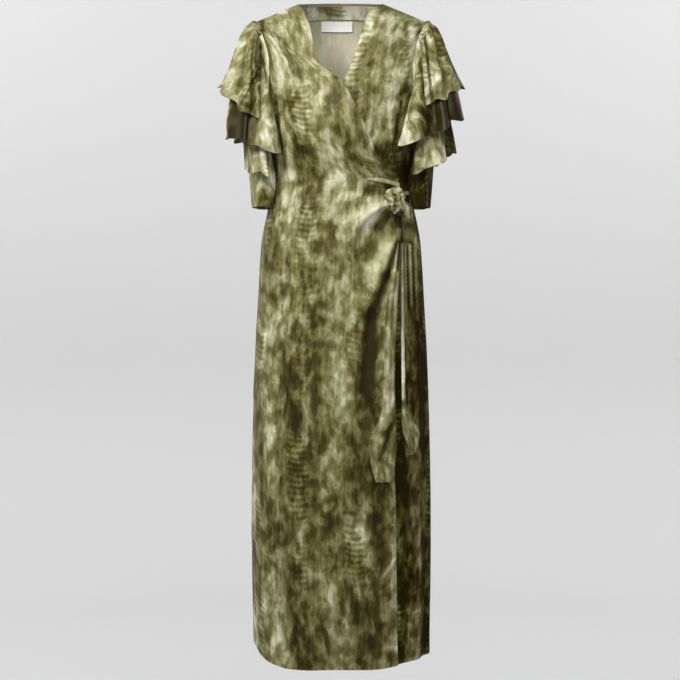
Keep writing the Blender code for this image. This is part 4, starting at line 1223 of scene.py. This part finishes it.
# columns: name, start_share, start_lift, start_front_deg, start_back_deg, hem_front_deg, hem_back_deg,
#          centre_x, hem_x_half, hem_y_half, front_in, z_outside, z_front, z_back,
#          near_share, near_out, far_share, far_out, waves, wave_depth, phase
FLOUNCES_LEFT = (
    ("upper", 0.004, 0.0012, 46.0, 88.0, 93.0, 101.0, 0.176, 0.075, 0.098, 0.0,
     -0.17, -0.222, -0.222, 0.05, 0.034, 0.44, 0.0, 5.5, 0.0085, 0.9),
    ("middle", 0.13, 0.0024, 92.0, 98.0, 130.0, 130.0, 0.176, 0.081, 0.104, 0.018,
     -0.232, -0.306, -0.29, 0.25, 0.017, 0.59, 0.017, 6.5, 0.0085, 2.0),
    ("lower", 0.42, 0.0024, 98.0, 98.0, 112.0, 112.0, 0.174, 0.06, 0.088, 0.008,
     -0.306, -0.362, -0.346, 0.25, 0.008, 0.59, 0.008, 5.5, 0.008, 3.3),
)
FLOUNCES_RIGHT = (
    ("upper", 0.004, 0.0012, 46.0, 88.0, 97.0, 101.0, 0.176, 0.076, 0.098, 0.0,
     -0.17, -0.249, -0.222, 0.05, 0.034, 0.44, 0.0, 5.5, 0.0085, 0.3),
    ("middle", 0.13, 0.0024, 92.0, 98.0, 130.0, 130.0, 0.174, 0.062, 0.104, 0.018,
     -0.276, -0.32, -0.292, 0.25, 0.015, 0.59, 0.015, 6.5, 0.0085, 1.2),
    ("lower", 0.42, 0.0024, 98.0, 98.0, 112.0, 112.0, 0.167, 0.028, 0.086, 0.012,
     -0.344, -0.364, -0.346, 0.25, 0.007, 0.59, 0.007, 5.0, 0.006, 4.4),
)
PLEAT_GROWN = 0.35
PLEAT_FADE = 0.15
PLEAT_END = 1.05
# columns: side_at_top, side_at_hem, half_width, fall_from, height
PLEATS = {
    "left_upper": (
        (0.3, 0.64, 0.035, 0.02, -0.0085),
        (0.12, 0.44, 0.07, 0.05, 0.006),
        (0.52, 0.74, 0.05, 0.05, 0.0065),
        (0.76, 0.86, 0.026, 0.05, -0.008),
        (0.92, 0.94, 0.04, 0.05, 0.0045),
        (-0.1, 0.1, 0.06, 0.15, -0.006),
        (-0.4, -0.3, 0.06, 0.1, 0.006),
        (-0.66, -0.6, 0.045, 0.1, -0.007),
    ),
    "left_middle": (
        (0.55, 0.6, 0.05, 0.2, -0.011),
        (0.72, 0.76, 0.07, 0.1, 0.006),
        (0.88, 0.88, 0.03, 0.3, -0.004),
        (0.3, 0.34, 0.06, 0.3, 0.006),
        (-0.2, -0.16, 0.05, 0.2, -0.007),
        (-0.55, -0.5, 0.05, 0.2, 0.006),
    ),
    "left_lower": (
        (0.45, 0.48, 0.06, 0.1, -0.005),
        (0.75, 0.78, 0.06, 0.1, 0.0045),
        (-0.3, -0.25, 0.06, 0.1, -0.005),
    ),
    "right_upper": (
        (0.78, 0.88, 0.028, 0.2, -0.0095),
        (0.94, 0.97, 0.03, 0.1, 0.005),
        (0.62, 0.77, 0.045, 0.1, 0.007),
        (0.4, 0.6, 0.05, 0.2, -0.006),
        (0.15, 0.38, 0.07, 0.1, 0.006),
        (-0.15, 0.02, 0.06, 0.2, -0.006),
        (-0.5, -0.42, 0.06, 0.1, 0.006),
        (-0.76, -0.7, 0.045, 0.1, -0.007),
    ),
    "right_middle": (
        (0.58, 0.6, 0.045, 0.2, -0.011),
        (0.76, 0.78, 0.07, 0.1, 0.006),
        (0.26, 0.24, 0.06, 0.3, 0.007),
        (-0.1, -0.06, 0.05, 0.2, -0.007),
        (-0.5, -0.46, 0.06, 0.2, 0.006),
    ),
    "right_lower": (
        (0.5, 0.52, 0.05, 0.1, -0.0045),
        (0.76, 0.78, 0.05, 0.1, 0.004),
        (-0.3, -0.25, 0.06, 0.1, -0.005),
    ),
}
# painted light and shade on each flounce: darker where it lies under the flounce above, lighter where it
# faces the light
# columns: side, half_width, fall, half_fall, tone
FLOUNCE_PAINTED_SHADING = {
    "left_upper": ((0.62, 0.05, 0.5, 0.6, -0.22), (0.85, 0.04, 0.6, 0.6, -0.2),
                   (0.8, 0.24, 0.5, 0.7, 0.14), (0.2, 0.3, 0.6, 0.6, -0.2)),
    "left_middle": ((0.22, 0.5, 0.8, 0.6, -0.78), (0.82, 0.16, 0.8, 0.5, 0.22)),
    "left_lower": ((0.7, 0.3, 0.8, 0.6, -0.04), (0.1, 0.2, 0.8, 0.6, -0.4)),
    "right_upper": ((0.88, 0.05, 0.6, 0.5, -0.24), (0.3, 0.36, 0.6, 0.6, 0.18),
                    (0.8, 0.14, 0.6, 0.6, -0.14), (0.97, 0.06, 0.75, 0.4, -0.4),
                    (0.98, 0.05, 0.25, 0.25, -0.34)),
    "right_middle": ((0.1, 0.13, 0.8, 0.5, 0.3), (0.45, 0.17, 0.7, 0.6, -0.8),
                     (0.84, 0.16, 0.75, 0.4, 0.16)),
    "right_lower": ((0.5, 0.5, 0.7, 0.6, 0.06), (0.95, 0.05, 0.7, 0.5, -0.25)),
}
# painted light and shade on the sleeve below the flounces, added to the print's tone: shade on the left
# sleeve, light on the right, and light at its top
SLEEVE_PAINTED_SHADING = {"left": -0.46, "right": 0.22}
SLEEVE_TOP_PAINTED_LIGHT = 0.26
# a wave's own drift along the hem and the swing of its depth
FLOUNCE_UNEVEN = (0.045, 2.7, 0.32, 1.9)
FLOUNCE_DIP = 0.004
# fullness beside the arm, ripple at the gathered line, both as shares, and where the front draws in
FLOUNCE_SIDE_FULL = 0.35
FLOUNCE_TOP_RIPPLE = 0.3
FLOUNCE_FRONT_FROM = 0.55
FLOUNCE_CROWD = 1.25
FLOUNCE_SEAT = 0.0012
FLOUNCE_CLEAR = 0.0052
FLOUNCE_BODY_CLEAR = 0.0075


# %% Inner sleeve surface
def clear_of_body(points, clearance):
    """Points inside the body ellipse, grown by a clearance, scaled out onto it."""
    half, front, back = torso_sizes(points[..., 2])
    half = half + clearance
    depth = np.where(points[..., 1] < 0.0, front, back) + clearance
    reach = np.sqrt((points[..., 0] / half) ** 2 + (points[..., 1] / depth) ** 2)
    grow = np.maximum(1.0, 1.0 / np.maximum(reach, 1e-6))
    moved = points.copy()
    moved[..., 0] *= grow
    moved[..., 1] *= grow
    return moved


def armhole_ring(turn):
    """Places round the armhole: 0 shoulder, half turn underarm, front first."""
    turn = np.mod(turn, 2 * math.pi)
    share = turn / math.pi
    ahead = along(armhole_line(1.0, False), np.clip(share, 0.0, 1.0))
    behind = along(armhole_line(1.0, True), np.clip(2.0 - share, 0.0, 1.0))
    place = np.where((share <= 1.0)[:, None], ahead, behind)
    return torso(place[:, 0], place[:, 1])


def third_order(t, start, near, far, end):
    """Curve from start to end, drawn towards the near handle first and the far one last."""
    return ((1 - t) ** 3 * start + 3 * t * (1 - t) ** 2 * near
            + 3 * t ** 2 * (1 - t) * far + t ** 3 * end)


def sleeve_surface(turn, share, hem):
    """Curve of third order from the armhole ring down to the sleeve hem, at each turn."""
    start = armhole_ring(turn)
    start[:, 0] += ARMHOLE_GAP
    hem_x = hem[0] + hem[1] * np.cos(turn)
    hem_y = -hem[2] * np.sin(turn)
    end = np.stack([hem_x, hem_y, np.full_like(turn, SLEEVE_HEM_HEIGHT)], axis=1)
    quarter = np.degrees(np.mod(turn, 2 * math.pi))
    turns = column(SLEEVE_HANDLES, 0)
    handle = [smooth(quarter, turns, column(SLEEVE_HANDLES, k)) for k in (1, 2, 3, 4)]
    first = start + np.stack([handle[0], 0.35 * (end[:, 1] - start[:, 1]), -handle[1]], axis=1)
    second = end + np.stack([handle[2], np.zeros_like(turn), handle[3]], axis=1)
    t = share[:, None, None]
    points = third_order(t, start, first, second, end)
    below = ease(-points[..., 2], -UNDERARM_HEIGHT - 0.03, -UNDERARM_HEIGHT)
    cleared = clear_of_body(points, SLEEVE_BODY_CLEAR)
    return points + (cleared - points) * below[..., None]


def outward(points, normals):
    """Normals turned away from the upright line through the arm."""
    axis = points * [0.0, 0.0, 1.0] + [ARM_HALF, 0.0, 0.0]
    return normals * np.sign(np.sum(normals * (points - axis)))


def mirrored(points, side):
    """Points for one side of the body."""
    return points * [side, 1.0, 1.0]


# %% Flounce surface
def flounce_wave(side, waves, phase):
    """Cosine along the hem whose place drifts and whose depth swings, so no two folds match."""
    shift, shift_waves, swing, swing_waves = FLOUNCE_UNEVEN
    place = side + shift * np.sin(shift_waves * math.pi * side + 1.3 * phase)
    depth = 1.0 + swing * np.sin(swing_waves * math.pi * side + 2.0 * phase)
    return np.cos(waves * math.pi * place + phase) * depth


def split_turn(side, front_degrees, back_degrees):
    """Turn round the arm: the front share of it ahead of the middle, the back share behind."""
    return np.radians(np.where(side > 0.0, front_degrees, back_degrees) * side)


def flounce_surface(row, columns, rows, hem_of_sleeve):
    """From the gathered line to the hem ellipse: third-order curve plus a growing ripple."""
    start_share, start_lift, start_front, start_back, hem_front, hem_back = row[1:7]
    centre_x, half_x, half_y, front_in, z_out, z_front, z_back = row[7:14]
    near_share, near_out, far_share, far_out, waves, depth, phase = row[14:]
    side = np.linspace(-1.0, 1.0, columns)
    turn = split_turn(side, start_front, start_back)
    start_shares = np.array([start_share, start_share + 0.02])
    start = sleeve_surface(np.mod(turn, 2 * math.pi), start_shares, hem_of_sleeve)[0]
    away = unit(start - start.mean(axis=0))
    start = start + away * start_lift + np.array([0.0008, 0.0, 0.0])
    hem_turn = split_turn(side, hem_front, hem_back)
    wave = flounce_wave(side, waves, phase)
    z_hem = z_out + (z_front - z_out) * ease(side, 0.0, 1.0) + (z_back - z_out) * ease(-side, 0.0, 1.0)
    z_hem = z_hem - FLOUNCE_DIP * wave
    hem_x = centre_x + half_x * np.cos(hem_turn) - front_in * ease(side, FLOUNCE_FRONT_FROM, 1.0)
    hem = np.stack([hem_x, -half_y * np.sin(hem_turn), z_hem], axis=1)
    radial = unit(np.stack([np.cos(hem_turn) / half_x, -np.sin(hem_turn) / half_y,
                            np.zeros_like(hem_turn)], axis=1))
    share = FLOUNCE_SIDE_FULL + (1.0 - FLOUNCE_SIDE_FULL) * np.cos(0.5 * hem_turn) ** 2
    fullness = radial * share[:, None]
    near = start + (hem - start) * near_share + fullness * near_out
    far = start + (hem - start) * far_share + fullness * far_out
    t = (np.linspace(0.0, 1.0, rows) ** FLOUNCE_CROWD)[:, None, None]
    points = third_order(t, start, near, far, hem)
    grown = (FLOUNCE_TOP_RIPPLE + (1.0 - FLOUNCE_TOP_RIPPLE) * t) * t ** 0.5
    return points + radial[None] * depth * wave[None, :, None] * grown


def pleat_relief(side, fall, table):
    """Bell about each pleat's line, which runs from a place at the top to a place at the hem."""
    side, fall = side[None, :], fall[:, None]
    total = np.zeros((fall.shape[0], side.shape[1]))
    end_fade = 1.0 - ease(fall, PLEAT_END - PLEAT_FADE, PLEAT_END)
    for side_top, side_hem, half, start, rise in table:
        centre = side_top + (side_hem - side_top) * fall
        grown = ease(fall, start, start + PLEAT_GROWN) * end_fade
        total += rise * grown * np.exp(-((side - centre) / (half * (0.6 + 0.4 * fall))) ** 2)
    return total


def flounce_painted_shading(side, fall, table):
    """Painted light and shade: a soft mark about each place on the flounce."""
    side, fall = side[None, :], fall[:, None]
    total = np.zeros((fall.shape[0], side.shape[1]))
    for place, half, level, half_fall, tone in table:
        total += tone * np.exp(-((side - place) / half) ** 4 - ((fall - level) / half_fall) ** 4)
    return total


def pushed_clear(points, layer, clearance):
    """Points moved out of a layer along its nearest point's normal until they stand clear."""
    flat = points.reshape(-1, 3)
    spots, normals = layer[0].reshape(-1, 3), layer[1].reshape(-1, 3)
    distance = np.linalg.norm(flat[:, None, :] - spots[None, :, :], axis=2)
    nearest = np.argmin(distance, axis=1)
    away = distance[np.arange(len(flat)), nearest]
    beyond = np.sum((flat - spots[nearest]) * normals[nearest], axis=1)
    wanted = np.full(points.shape[:2], clearance)
    wanted[0] = FLOUNCE_SEAT
    short = np.maximum(wanted.reshape(-1) - beyond, 0.0)
    close = (away < 0.03) & (np.abs(beyond) > 0.7 * away - 0.002)
    return points + (normals[nearest] * (short * close)[:, None]).reshape(points.shape)


def refined(points, columns, rows):
    """A finer grid: smooth curves through the rows, then through the columns."""
    return smooth_along(smooth_along(points, columns, 1), rows, 0)


def smooth_along(points, new, axis):
    """Cubic through evenly spaced samples along one axis of a grid."""
    old = points.shape[axis]
    place = np.linspace(0.0, old - 1.0, new)
    cell = np.minimum(place.astype(int), old - 2)
    t = (place - cell).reshape((-1, 1, 1) if axis == 0 else (1, -1, 1))
    slopes = np.gradient(points, axis=axis)
    ends = [np.take(grid, cell + shift, axis=axis) for grid in (points, slopes) for shift in (0, 1)]
    return cubic(t, *ends)


# %% Sleeves and flounces
COARSE_COLUMNS = 73
COARSE_ROWS = 13
FINE_COLUMNS = 257
FINE_ROWS = 41
GATHER_DEPTH = 0.0011
GATHER_COUNT = 34.0
GATHER_REACH = 0.35
# soft creases round the outside of the inner sleeve
CREASE_COUNT = 5.0
CREASE_DEPTH = 0.0022


def gathers(side, fall, phase):
    """Small pleats at the gathered line, uneven in width, dying out down the flounce."""
    run = GATHER_COUNT * math.pi * (side + 0.03 * np.sin(7.0 * side + phase))
    pleat = np.sin(run + phase) + 0.45 * np.sin(0.53 * run + 2.0 * phase)
    fading = np.exp(-(fall[:, None] / GATHER_REACH) ** 2)
    return GATHER_DEPTH * pleat[None, :] * fading * ease(fall, 0.0, 0.06)[:, None]


def make_sleeve(side_name, side_sign, table):
    """Inner sleeve, then its flounces from the lowest up, each clear of those below."""
    turn = np.linspace(0.0, 2 * math.pi, 121)
    share = np.linspace(0.0, 1.0, 70) ** SLEEVE_CROWD
    hem = SLEEVE_HEM[side_name]
    sleeve = sleeve_surface(turn, share, hem)
    crease = CREASE_DEPTH * np.sin(CREASE_COUNT * turn + 1.0)[None, :] * ease(share, 0.35, 1.0)[:, None]
    outside = sleeve[..., :1] > 0.17
    sleeve = sleeve + outward(sleeve, grid_normals(sleeve)) * crease[..., None] * outside
    sleeve[:, -1] = sleeve[:, 0]
    # painted light at the top of the inner sleeve, turning lower down to its side's painted light or
    # shade
    low_down = ease(-sleeve[..., 2], 0.17, 0.26)
    painted_shading = SLEEVE_TOP_PAINTED_LIGHT + (SLEEVE_PAINTED_SHADING[side_name] - SLEEVE_TOP_PAINTED_LIGHT) * low_down
    name = "sleeve_" + side_name
    item = cloth_sheet("cloth_" + name, mirrored(sleeve, side_sign), (1.3 + 0.2 * side_sign, 0.4), name,
                       flip=side_sign < 0, face=satin_matte, back=satin_shaded,
                       painted_shading=painted_shading)
    coarse_turn = np.linspace(0.0, 2 * math.pi, COARSE_COLUMNS)[:-1]
    base = sleeve_surface(coarse_turn, np.linspace(0.0, 1.0, 24) ** SLEEVE_CROWD, hem)
    layers = [(base, outward(base, grid_normals(base, wrap=True)))]
    for row in reversed(table):
        points = flounce_surface(row, COARSE_COLUMNS, COARSE_ROWS, hem)
        for _ in range(3):
            for layer in layers:
                points = pushed_clear(points, layer, FLOUNCE_CLEAR)
            points[1:] = clear_of_body(points[1:], FLOUNCE_BODY_CLEAR)
        layers.append((points, outward(points, grid_normals(points))))
        fine_points = refined(points, FINE_COLUMNS, FINE_ROWS)
        side = np.linspace(-1.0, 1.0, FINE_COLUMNS)
        fall = np.linspace(0.0, 1.0, FINE_ROWS)
        normals = outward(fine_points, grid_normals(fine_points))
        place = side_name + "_" + row[0]
        relief = gathers(side, fall, row[-1]) + pleat_relief(side, fall, PLEATS[place])
        fine_points = fine_points + normals * relief[..., None]
        name = "flounce_" + place
        start = (1.9 + 0.4 * side_sign, row[-1])
        item = cloth_sheet("cloth_" + name, mirrored(fine_points, side_sign), start, name,
                           flip=side_sign < 0, back=satin_shaded,
                           painted_shading=flounce_painted_shading(side, fall, FLOUNCE_PAINTED_SHADING[place]))


make_sleeve("left", 1.0, FLOUNCES_LEFT)
make_sleeve("right", -1.0, FLOUNCES_RIGHT)

# %% [markdown]
# ## Inside the back neck
#
# A narrow facing cut from the same cloth finishes the back neck, with its right side showing.
# Below it sits a plain woven label with nothing on it. Both are laid on the inner face of the
# back, found from the same body surface.

# %% Facing and label
FACING_HEIGHT = 0.024
FACING_TOP_INSET = 0.004
LABEL_ACROSS = -0.009
LABEL_SIZE = (0.067, 0.02)
LABEL_TOP = -0.024


def back_inside(across, height, inward):
    """Place on the back at a distance inside its outer face."""
    angle = math.pi - front_angle(across, height)
    place = torso(angle, height)
    step = 0.0005
    beside = torso(math.pi - front_angle(across + step, height), height)
    above = torso(math.pi - front_angle(across, height + step), height + step)
    normal = unit(np.cross(above - place, beside - place))
    return place - normal * inward


across = np.linspace(-NECK_HALF + 0.016, NECK_HALF - 0.016, 81)
share = np.linspace(1.0, 0.0, 21)
edge = back_neck_height(across) - FACING_TOP_INSET
height = edge[None, :] - FACING_HEIGHT * share[:, None]
facing_points = back_inside(np.broadcast_to(across, height.shape), height, WALL + 0.0009)
# the facing's print is lifted by 0.3 as painted light inside the shaded back neck
facing = cloth_sheet("cloth_neck_facing", facing_points, (2.6, 0.3), "neck_facing_back",
                     thick=0.0005, painted_shading=0.3)


# %% Label finish
def label_finish():
    """Off-white woven tape: fine ribs as bump and a faint change of tone."""
    finish, tree, shader = new_finish("label_tape", {"Roughness": 0.55})
    place = add_node(tree, "ShaderNodeUVMap", uv_map="cloth").outputs["UV"]
    ribs = noise(tree, place, RIB_CELLS)
    rows = ((0.3, 0.94, 0.93, 0.88), (0.7, 0.98, 0.975, 0.95))
    tree.links.new(tone_ramp(tree, ribs, rows), shader.inputs["Base Color"])
    tree.links.new(bump(tree, ribs, 0.3, 0.0003), shader.inputs["Normal"])
    return finish


label_tape = label_finish()
wide, tall = np.meshgrid(np.linspace(-0.5, 0.5, 41) * LABEL_SIZE[0] + LABEL_ACROSS,
                         LABEL_TOP - LABEL_SIZE[1] * np.linspace(1.0, 0.0, 15))
label_points = back_inside(wide, tall, WALL + 0.0016)
label = cloth_sheet("cloth_label", label_points, (0.0, 0.0), "label_blank",
                    face=label_tape, thick=0.0008)
label.data.materials[1] = label_tape

# %% [markdown]
# ## Knot and ties
#
# Two straps come together at the left hip and are tied in a knot that opens like a rosette. Its
# two ends hang down the edge of the skirt. The knot is one closed form: a flattened ball whose
# folds wind from a dimple to its rim.

# %% Knot
KNOT_SIZE = (0.0215, 0.013, 0.025)
KNOT_SHIFT = 0.003
KNOT_GATHER = 2.8
# columns: depth, count, phase
KNOT_LOBES = ((0.1, 5, 0.6), (0.07, 9, 2.1), (0.03, 17, 0.0))
# half width and front depth of the body behind the knot
KNOT_HIP = (0.153, 0.104)


def front_surface(across, height, out):
    """Place on the front of the dress, moved out from the over layer."""
    half, front, _ = torso_sizes(height)
    total = WALL + LAYER_GAP + out
    under = across
    for _ in range(4):
        angle = front_angle(under, height)
        slope = [np.sin(angle) / half, -np.cos(angle) / front, np.zeros_like(angle)]
        normal = unit(np.stack(slope, axis=-1))
        under = across - normal[..., 0] * total
    return torso(angle, height) + normal * total[..., None]


low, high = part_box("tie_knot")
knot_middle = (np.array(low) + np.array(high)) / 2
out = unit(np.array([knot_middle[0] / KNOT_HIP[0] ** 2, knot_middle[1] / KNOT_HIP[1] ** 2, 0.0]))
sideways = -unit(np.cross(out, [0.0, 0.0, 1.0]))
knot_middle = knot_middle + sideways * KNOT_SHIFT
polar = np.linspace(0.02, math.pi - 0.02, 90)[:, None]
round_ = np.linspace(0.0, 2 * math.pi, 151)[None, :]
winding = round_ + 0.9 * np.cos(polar)
lobes = sum(depth * np.cos(count * winding + phase) for depth, count, phase in KNOT_LOBES)
swell = 1.0 + np.sin(polar) ** 0.7 * lobes
x = KNOT_SIZE[0] * np.sin(polar) * np.cos(round_) * swell
z = KNOT_SIZE[2] * np.sin(polar) * np.sin(round_) * swell
ring = np.exp(-((polar - 1.05) / 0.34) ** 2)
inner_ring = np.exp(-((polar - 0.48) / 0.2) ** 2)
outer_petals = np.abs(np.sin(2.5 * round_ + 1.3 * polar)) ** 0.6
inner_petals = np.abs(np.sin(1.5 * round_ - 1.7 * polar + 0.8)) ** 0.6
dimple = np.exp(-(polar / 0.2) ** 2)
relief = 0.46 * ring * outer_petals + 0.34 * inner_ring * inner_petals - 0.3 * dimple
y = KNOT_SIZE[1] * np.cos(polar) * (0.72 + relief)
upright = z[..., None] * [0.0, 0.0, 1.0]
knot_points = knot_middle + x[..., None] * sideways + y[..., None] * out + upright
creases = ring * (1.0 - outer_petals) + inner_ring * (1.0 - inner_petals) + 0.8 * dimple
knot_uv = KNOT_GATHER * cloth_uv(knot_points, (3.1, 0.2))
knot = in_scene("cloth_knot", knot_points, knot_uv, [satin_face])
# painted light and shade on the knot: lighter overall, darker in its creases and dimple and towards the
# dress behind it
knot_painted_shading = 0.27 - 0.62 * creases - 0.3 * ease(polar, 1.3, 1.9)
stands_for(knot, "tie_knot", knot_painted_shading, 0.1)

# %% Tie ends
# columns: x, height, half_width, extra_out
TIE_LONG = metres((
    (123, -448, 2.8, -0.3),
    (125, -500, 3.2, 0.8),
    (125.6, -620, 3.6, 3),
    (126.2, -740, 3.6, 3),
    (129, -840, 5.2, 3),
    (142, -885, 17, 3.5),
    (147, -913, 11, 3.5),
    (144, -934, 4, 3.5),
))
TIE_WIDE = metres((
    (116.5, -448, 3, -0.3),
    (114.5, -520, 6.4, 1.6),
    (102, -640, 11.5, 5),
    (97.5, -760, 11, 6),
    (96, -845, 14, 5.5),
    (85, -898, 27, 5.5),
    (84, -940, 26, 5.5),
    (85, -986, 15, 5.5),
))
# painted light and shade on the tie ends: darker where they leave the knot and along their folds, lighter
# along their ridges
# columns: x_start, z_start, x_end, z_end, width_start, width_end, tone
TIE_PAINTED_SHADING = metres((
    (100, -448, 128, -456, 26, 26, -0.22),
    (113, -508, 109, -560, 3, 3.6, 0.4),
    (119, -508, 115, -560, 1.4, 1.8, -0.36),
    (124, -508, 125, -600, 3, 3, 0.34),
    (90, -890, 86, -980, 26, 20, -0.06),
    (103, -450, 98, -540, 20, 16, -0.2),
    (103, -870, 78, -940, 5, 6, -0.3),
    (93, -780, 106, -860, 5, 5, -0.16),
    (118, -450, 124, -570, 8, 6, -0.22),
    (125.5, -600, 126.2, -820, 3, 3, 0.26),
    (148, -900, 140, -930, 5, 4, -0.2),
), plain=1)


TIE_OUT = 0.0035


def tie_points(table, fold):
    """Strip along its centre line, raised to a soft ridge and carried over the folds beneath."""
    run = np.linspace(0.0, 1.0, len(table))
    fine_run = np.linspace(0.0, 1.0, 150)
    x, z, half, extra = [smooth(fine_run, run, column(table, k)) for k in range(4)]
    side = np.linspace(-1.0, 1.0, 25)
    across = x[:, None] + half[:, None] * side[None, :]
    height = np.broadcast_to(z[:, None], across.shape)
    crease = fold * (1.0 - np.abs(side))[None, :] + 0.0006 * np.cos(7.0 * side + 1.0)[None, :]
    ridges = fold_relief(front_surface(across, height, 0.0 * across), DRAPE_FOLDS, 0.45, 0.6)
    over_ridges = np.maximum(ridges, 0.0).max(axis=1, keepdims=True) * ease(-height, 0.42, 0.46)
    return front_surface(across, height, extra[:, None] + TIE_OUT + crease + over_ridges)[::-1]


for name, table, fold, flat, area in (
        ("tie_end_long", TIE_LONG, 0.002, (0.04, 0.5), 0.008),
        ("tie_end_wide", TIE_WIDE, 0.003, (0.06, 0.56), 0.018)):
    points = tie_points(table, fold)
    tie = cloth_sheet("cloth_" + name, points, (3.6, 0.1 + 10 * fold), name,
                      painted_shading=line_marks(points, TIE_PAINTED_SHADING + KNOT_SHADE), calm=calm_marks(points))


# %% Straps
STRAP_BOW = 0.003


def strap_points(start, end, half, out_by):
    """Strap between two places, rounded across, that widens and rises as it leaves the seam."""
    share = np.linspace(0.0, 1.0, 60)
    side = np.linspace(-1.0, 1.0, 17)
    across = np.broadcast_to(start[0] + (end[0] - start[0]) * share, (17, 60)).copy()
    grown = ease(share, -0.1, 0.45)[None, :]
    course = start[1] + (end[1] - start[1]) * share + STRAP_BOW * np.sin(math.pi * share)
    height = course[None, :] + half * side[:, None] * grown
    lift = out_by * grown + 0.0008 * (1.0 - side[:, None] ** 2) * grown + 0.0008
    return front_surface(across, height, lift)


# painted light lifts the front strap's print by 0.26, painted shade lowers the side strap's by 0.45
for name, start, end, half, out_by, face, painted_shading, flat, area in (
        ("tie_strap_front", (0.048, -0.3745), (0.12, -0.384), 0.0042, 0.003, satin_face, 0.26,
         (0.078, 0.01), 0.0006),
        ("tie_strap_side", (0.131, -0.414), (0.142, -0.412), 0.008, 0.0, satin_matte, -0.45,
         (0.022, 0.017), 0.00028)):
    strap = cloth_sheet("cloth_" + name, strap_points(start, end, half, out_by), (4.0, 0.2), name,
                        face=face, painted_shading=painted_shading, calm=0.5)

# %% [markdown]
# ## Studio
#
# A pale round floor sweeps up into a wall all round the dress. One broad light stands in
# front, high and to the left, so the flounces and the draped folds throw soft shadows to the
# right. Two more light the wall behind.

# %% Floor
FLOOR_HEIGHT = -2.15
FLOOR_RADIUS = 4.6
BEND_RADIUS = 1.2
WALL_HEIGHT = 4.0
# shares of the way out from the middle that the floor and the bend take up
FLOOR_SHARE = 0.45
BEND_SHARE = 0.25
FLOOR_TONES = ((0.0, 0.68, 0.68, 0.68), (1.0, 0.605, 0.605, 0.605))
steps = np.linspace(-1.0, 1.0, 121)
floor_v, floor_u = np.meshgrid(steps, steps, indexing="ij")
path = np.maximum(np.abs(floor_u), np.abs(floor_v))
turn = np.clip((path - FLOOR_SHARE) / BEND_SHARE, 0.0, 1.0) * math.pi / 2
radius = FLOOR_RADIUS * np.clip(path / FLOOR_SHARE, 0.0, 1.0) + BEND_RADIUS * np.sin(turn)
ray = np.maximum(np.hypot(floor_u, floor_v), 1e-6)
wall_from = FLOOR_SHARE + BEND_SHARE
rise = WALL_HEIGHT * np.clip((path - wall_from) / (1.0 - wall_from), 0.0, 1.0)
floor_points = np.stack([radius * floor_u / ray, radius * floor_v / ray,
                         FLOOR_HEIGHT + BEND_RADIUS * (1.0 - np.cos(turn)) + rise], axis=-1)
floor_finish, tree, shader = new_finish("studio_grey", {"Roughness": 0.9, "Specular IOR Level": 0.0})
floor_place = add_node(tree, "ShaderNodeTexCoord").outputs["Object"]
depth = add_node(tree, "ShaderNodeSeparateXYZ", {0: floor_place}).outputs["Y"]
greys = tone_ramp(tree, math_node(tree, "MULTIPLY", depth, 0.5), FLOOR_TONES)
tree.links.new(greys, shader.inputs["Base Color"])
floor = in_scene("studio_floor", floor_points, cloth_uv(floor_points, (0.0, 0.0)), [floor_finish])


# %% Lights
def area_light(name, place, aim, size, power):
    """Square soft light at a place, turned to its aim."""
    data = bpy.data.lights.new(name, "AREA")
    data.shape = "SQUARE"
    data.size = size
    data.energy = power
    item = bpy.data.objects.new(name, data)
    direction = np.array(aim, dtype=float) - np.array(place, dtype=float)
    flat = math.hypot(direction[0], direction[1])
    item.location = place
    heading = math.atan2(-direction[0], direction[1])
    item.rotation_euler = (math.atan2(flat, -direction[2]), 0.0, heading)
    bpy.context.scene.collection.objects.link(item)


# columns: name, place, aim, size, power
for light_row in (
        ("key_light", (-1.7, -2.3, 1.6), (0.0, 0.0, -0.6), 0.9, 105.5),
        ("front_light", (0.25, -3.3, -0.35), (0.0, 0.0, -0.6), 1.4, 7.0),
        ("neck_light", (0.1, -1.5, 0.65), (0.0, 0.0, -0.1), 0.5, 17.0),
        ("wall_light_left", (-3.0, 2.2, 2.7), (-1.4, 5.6, -0.9), 2.2, 149.0),
        ("wall_light_right", (3.0, 2.2, 2.7), (1.4, 5.6, -0.9), 2.2, 149.0)):
    area_light(*light_row)
studio_world = bpy.data.worlds.new("studio_world")
studio_world.use_nodes = True
sky = studio_world.node_tree.nodes["Background"]
sky.inputs["Color"].default_value = (1.0, 1.0, 1.0, 1.0)
sky.inputs["Strength"].default_value = 0.1
bpy.context.scene.world = studio_world
bpy.context.scene.view_settings.view_transform = "Standard"
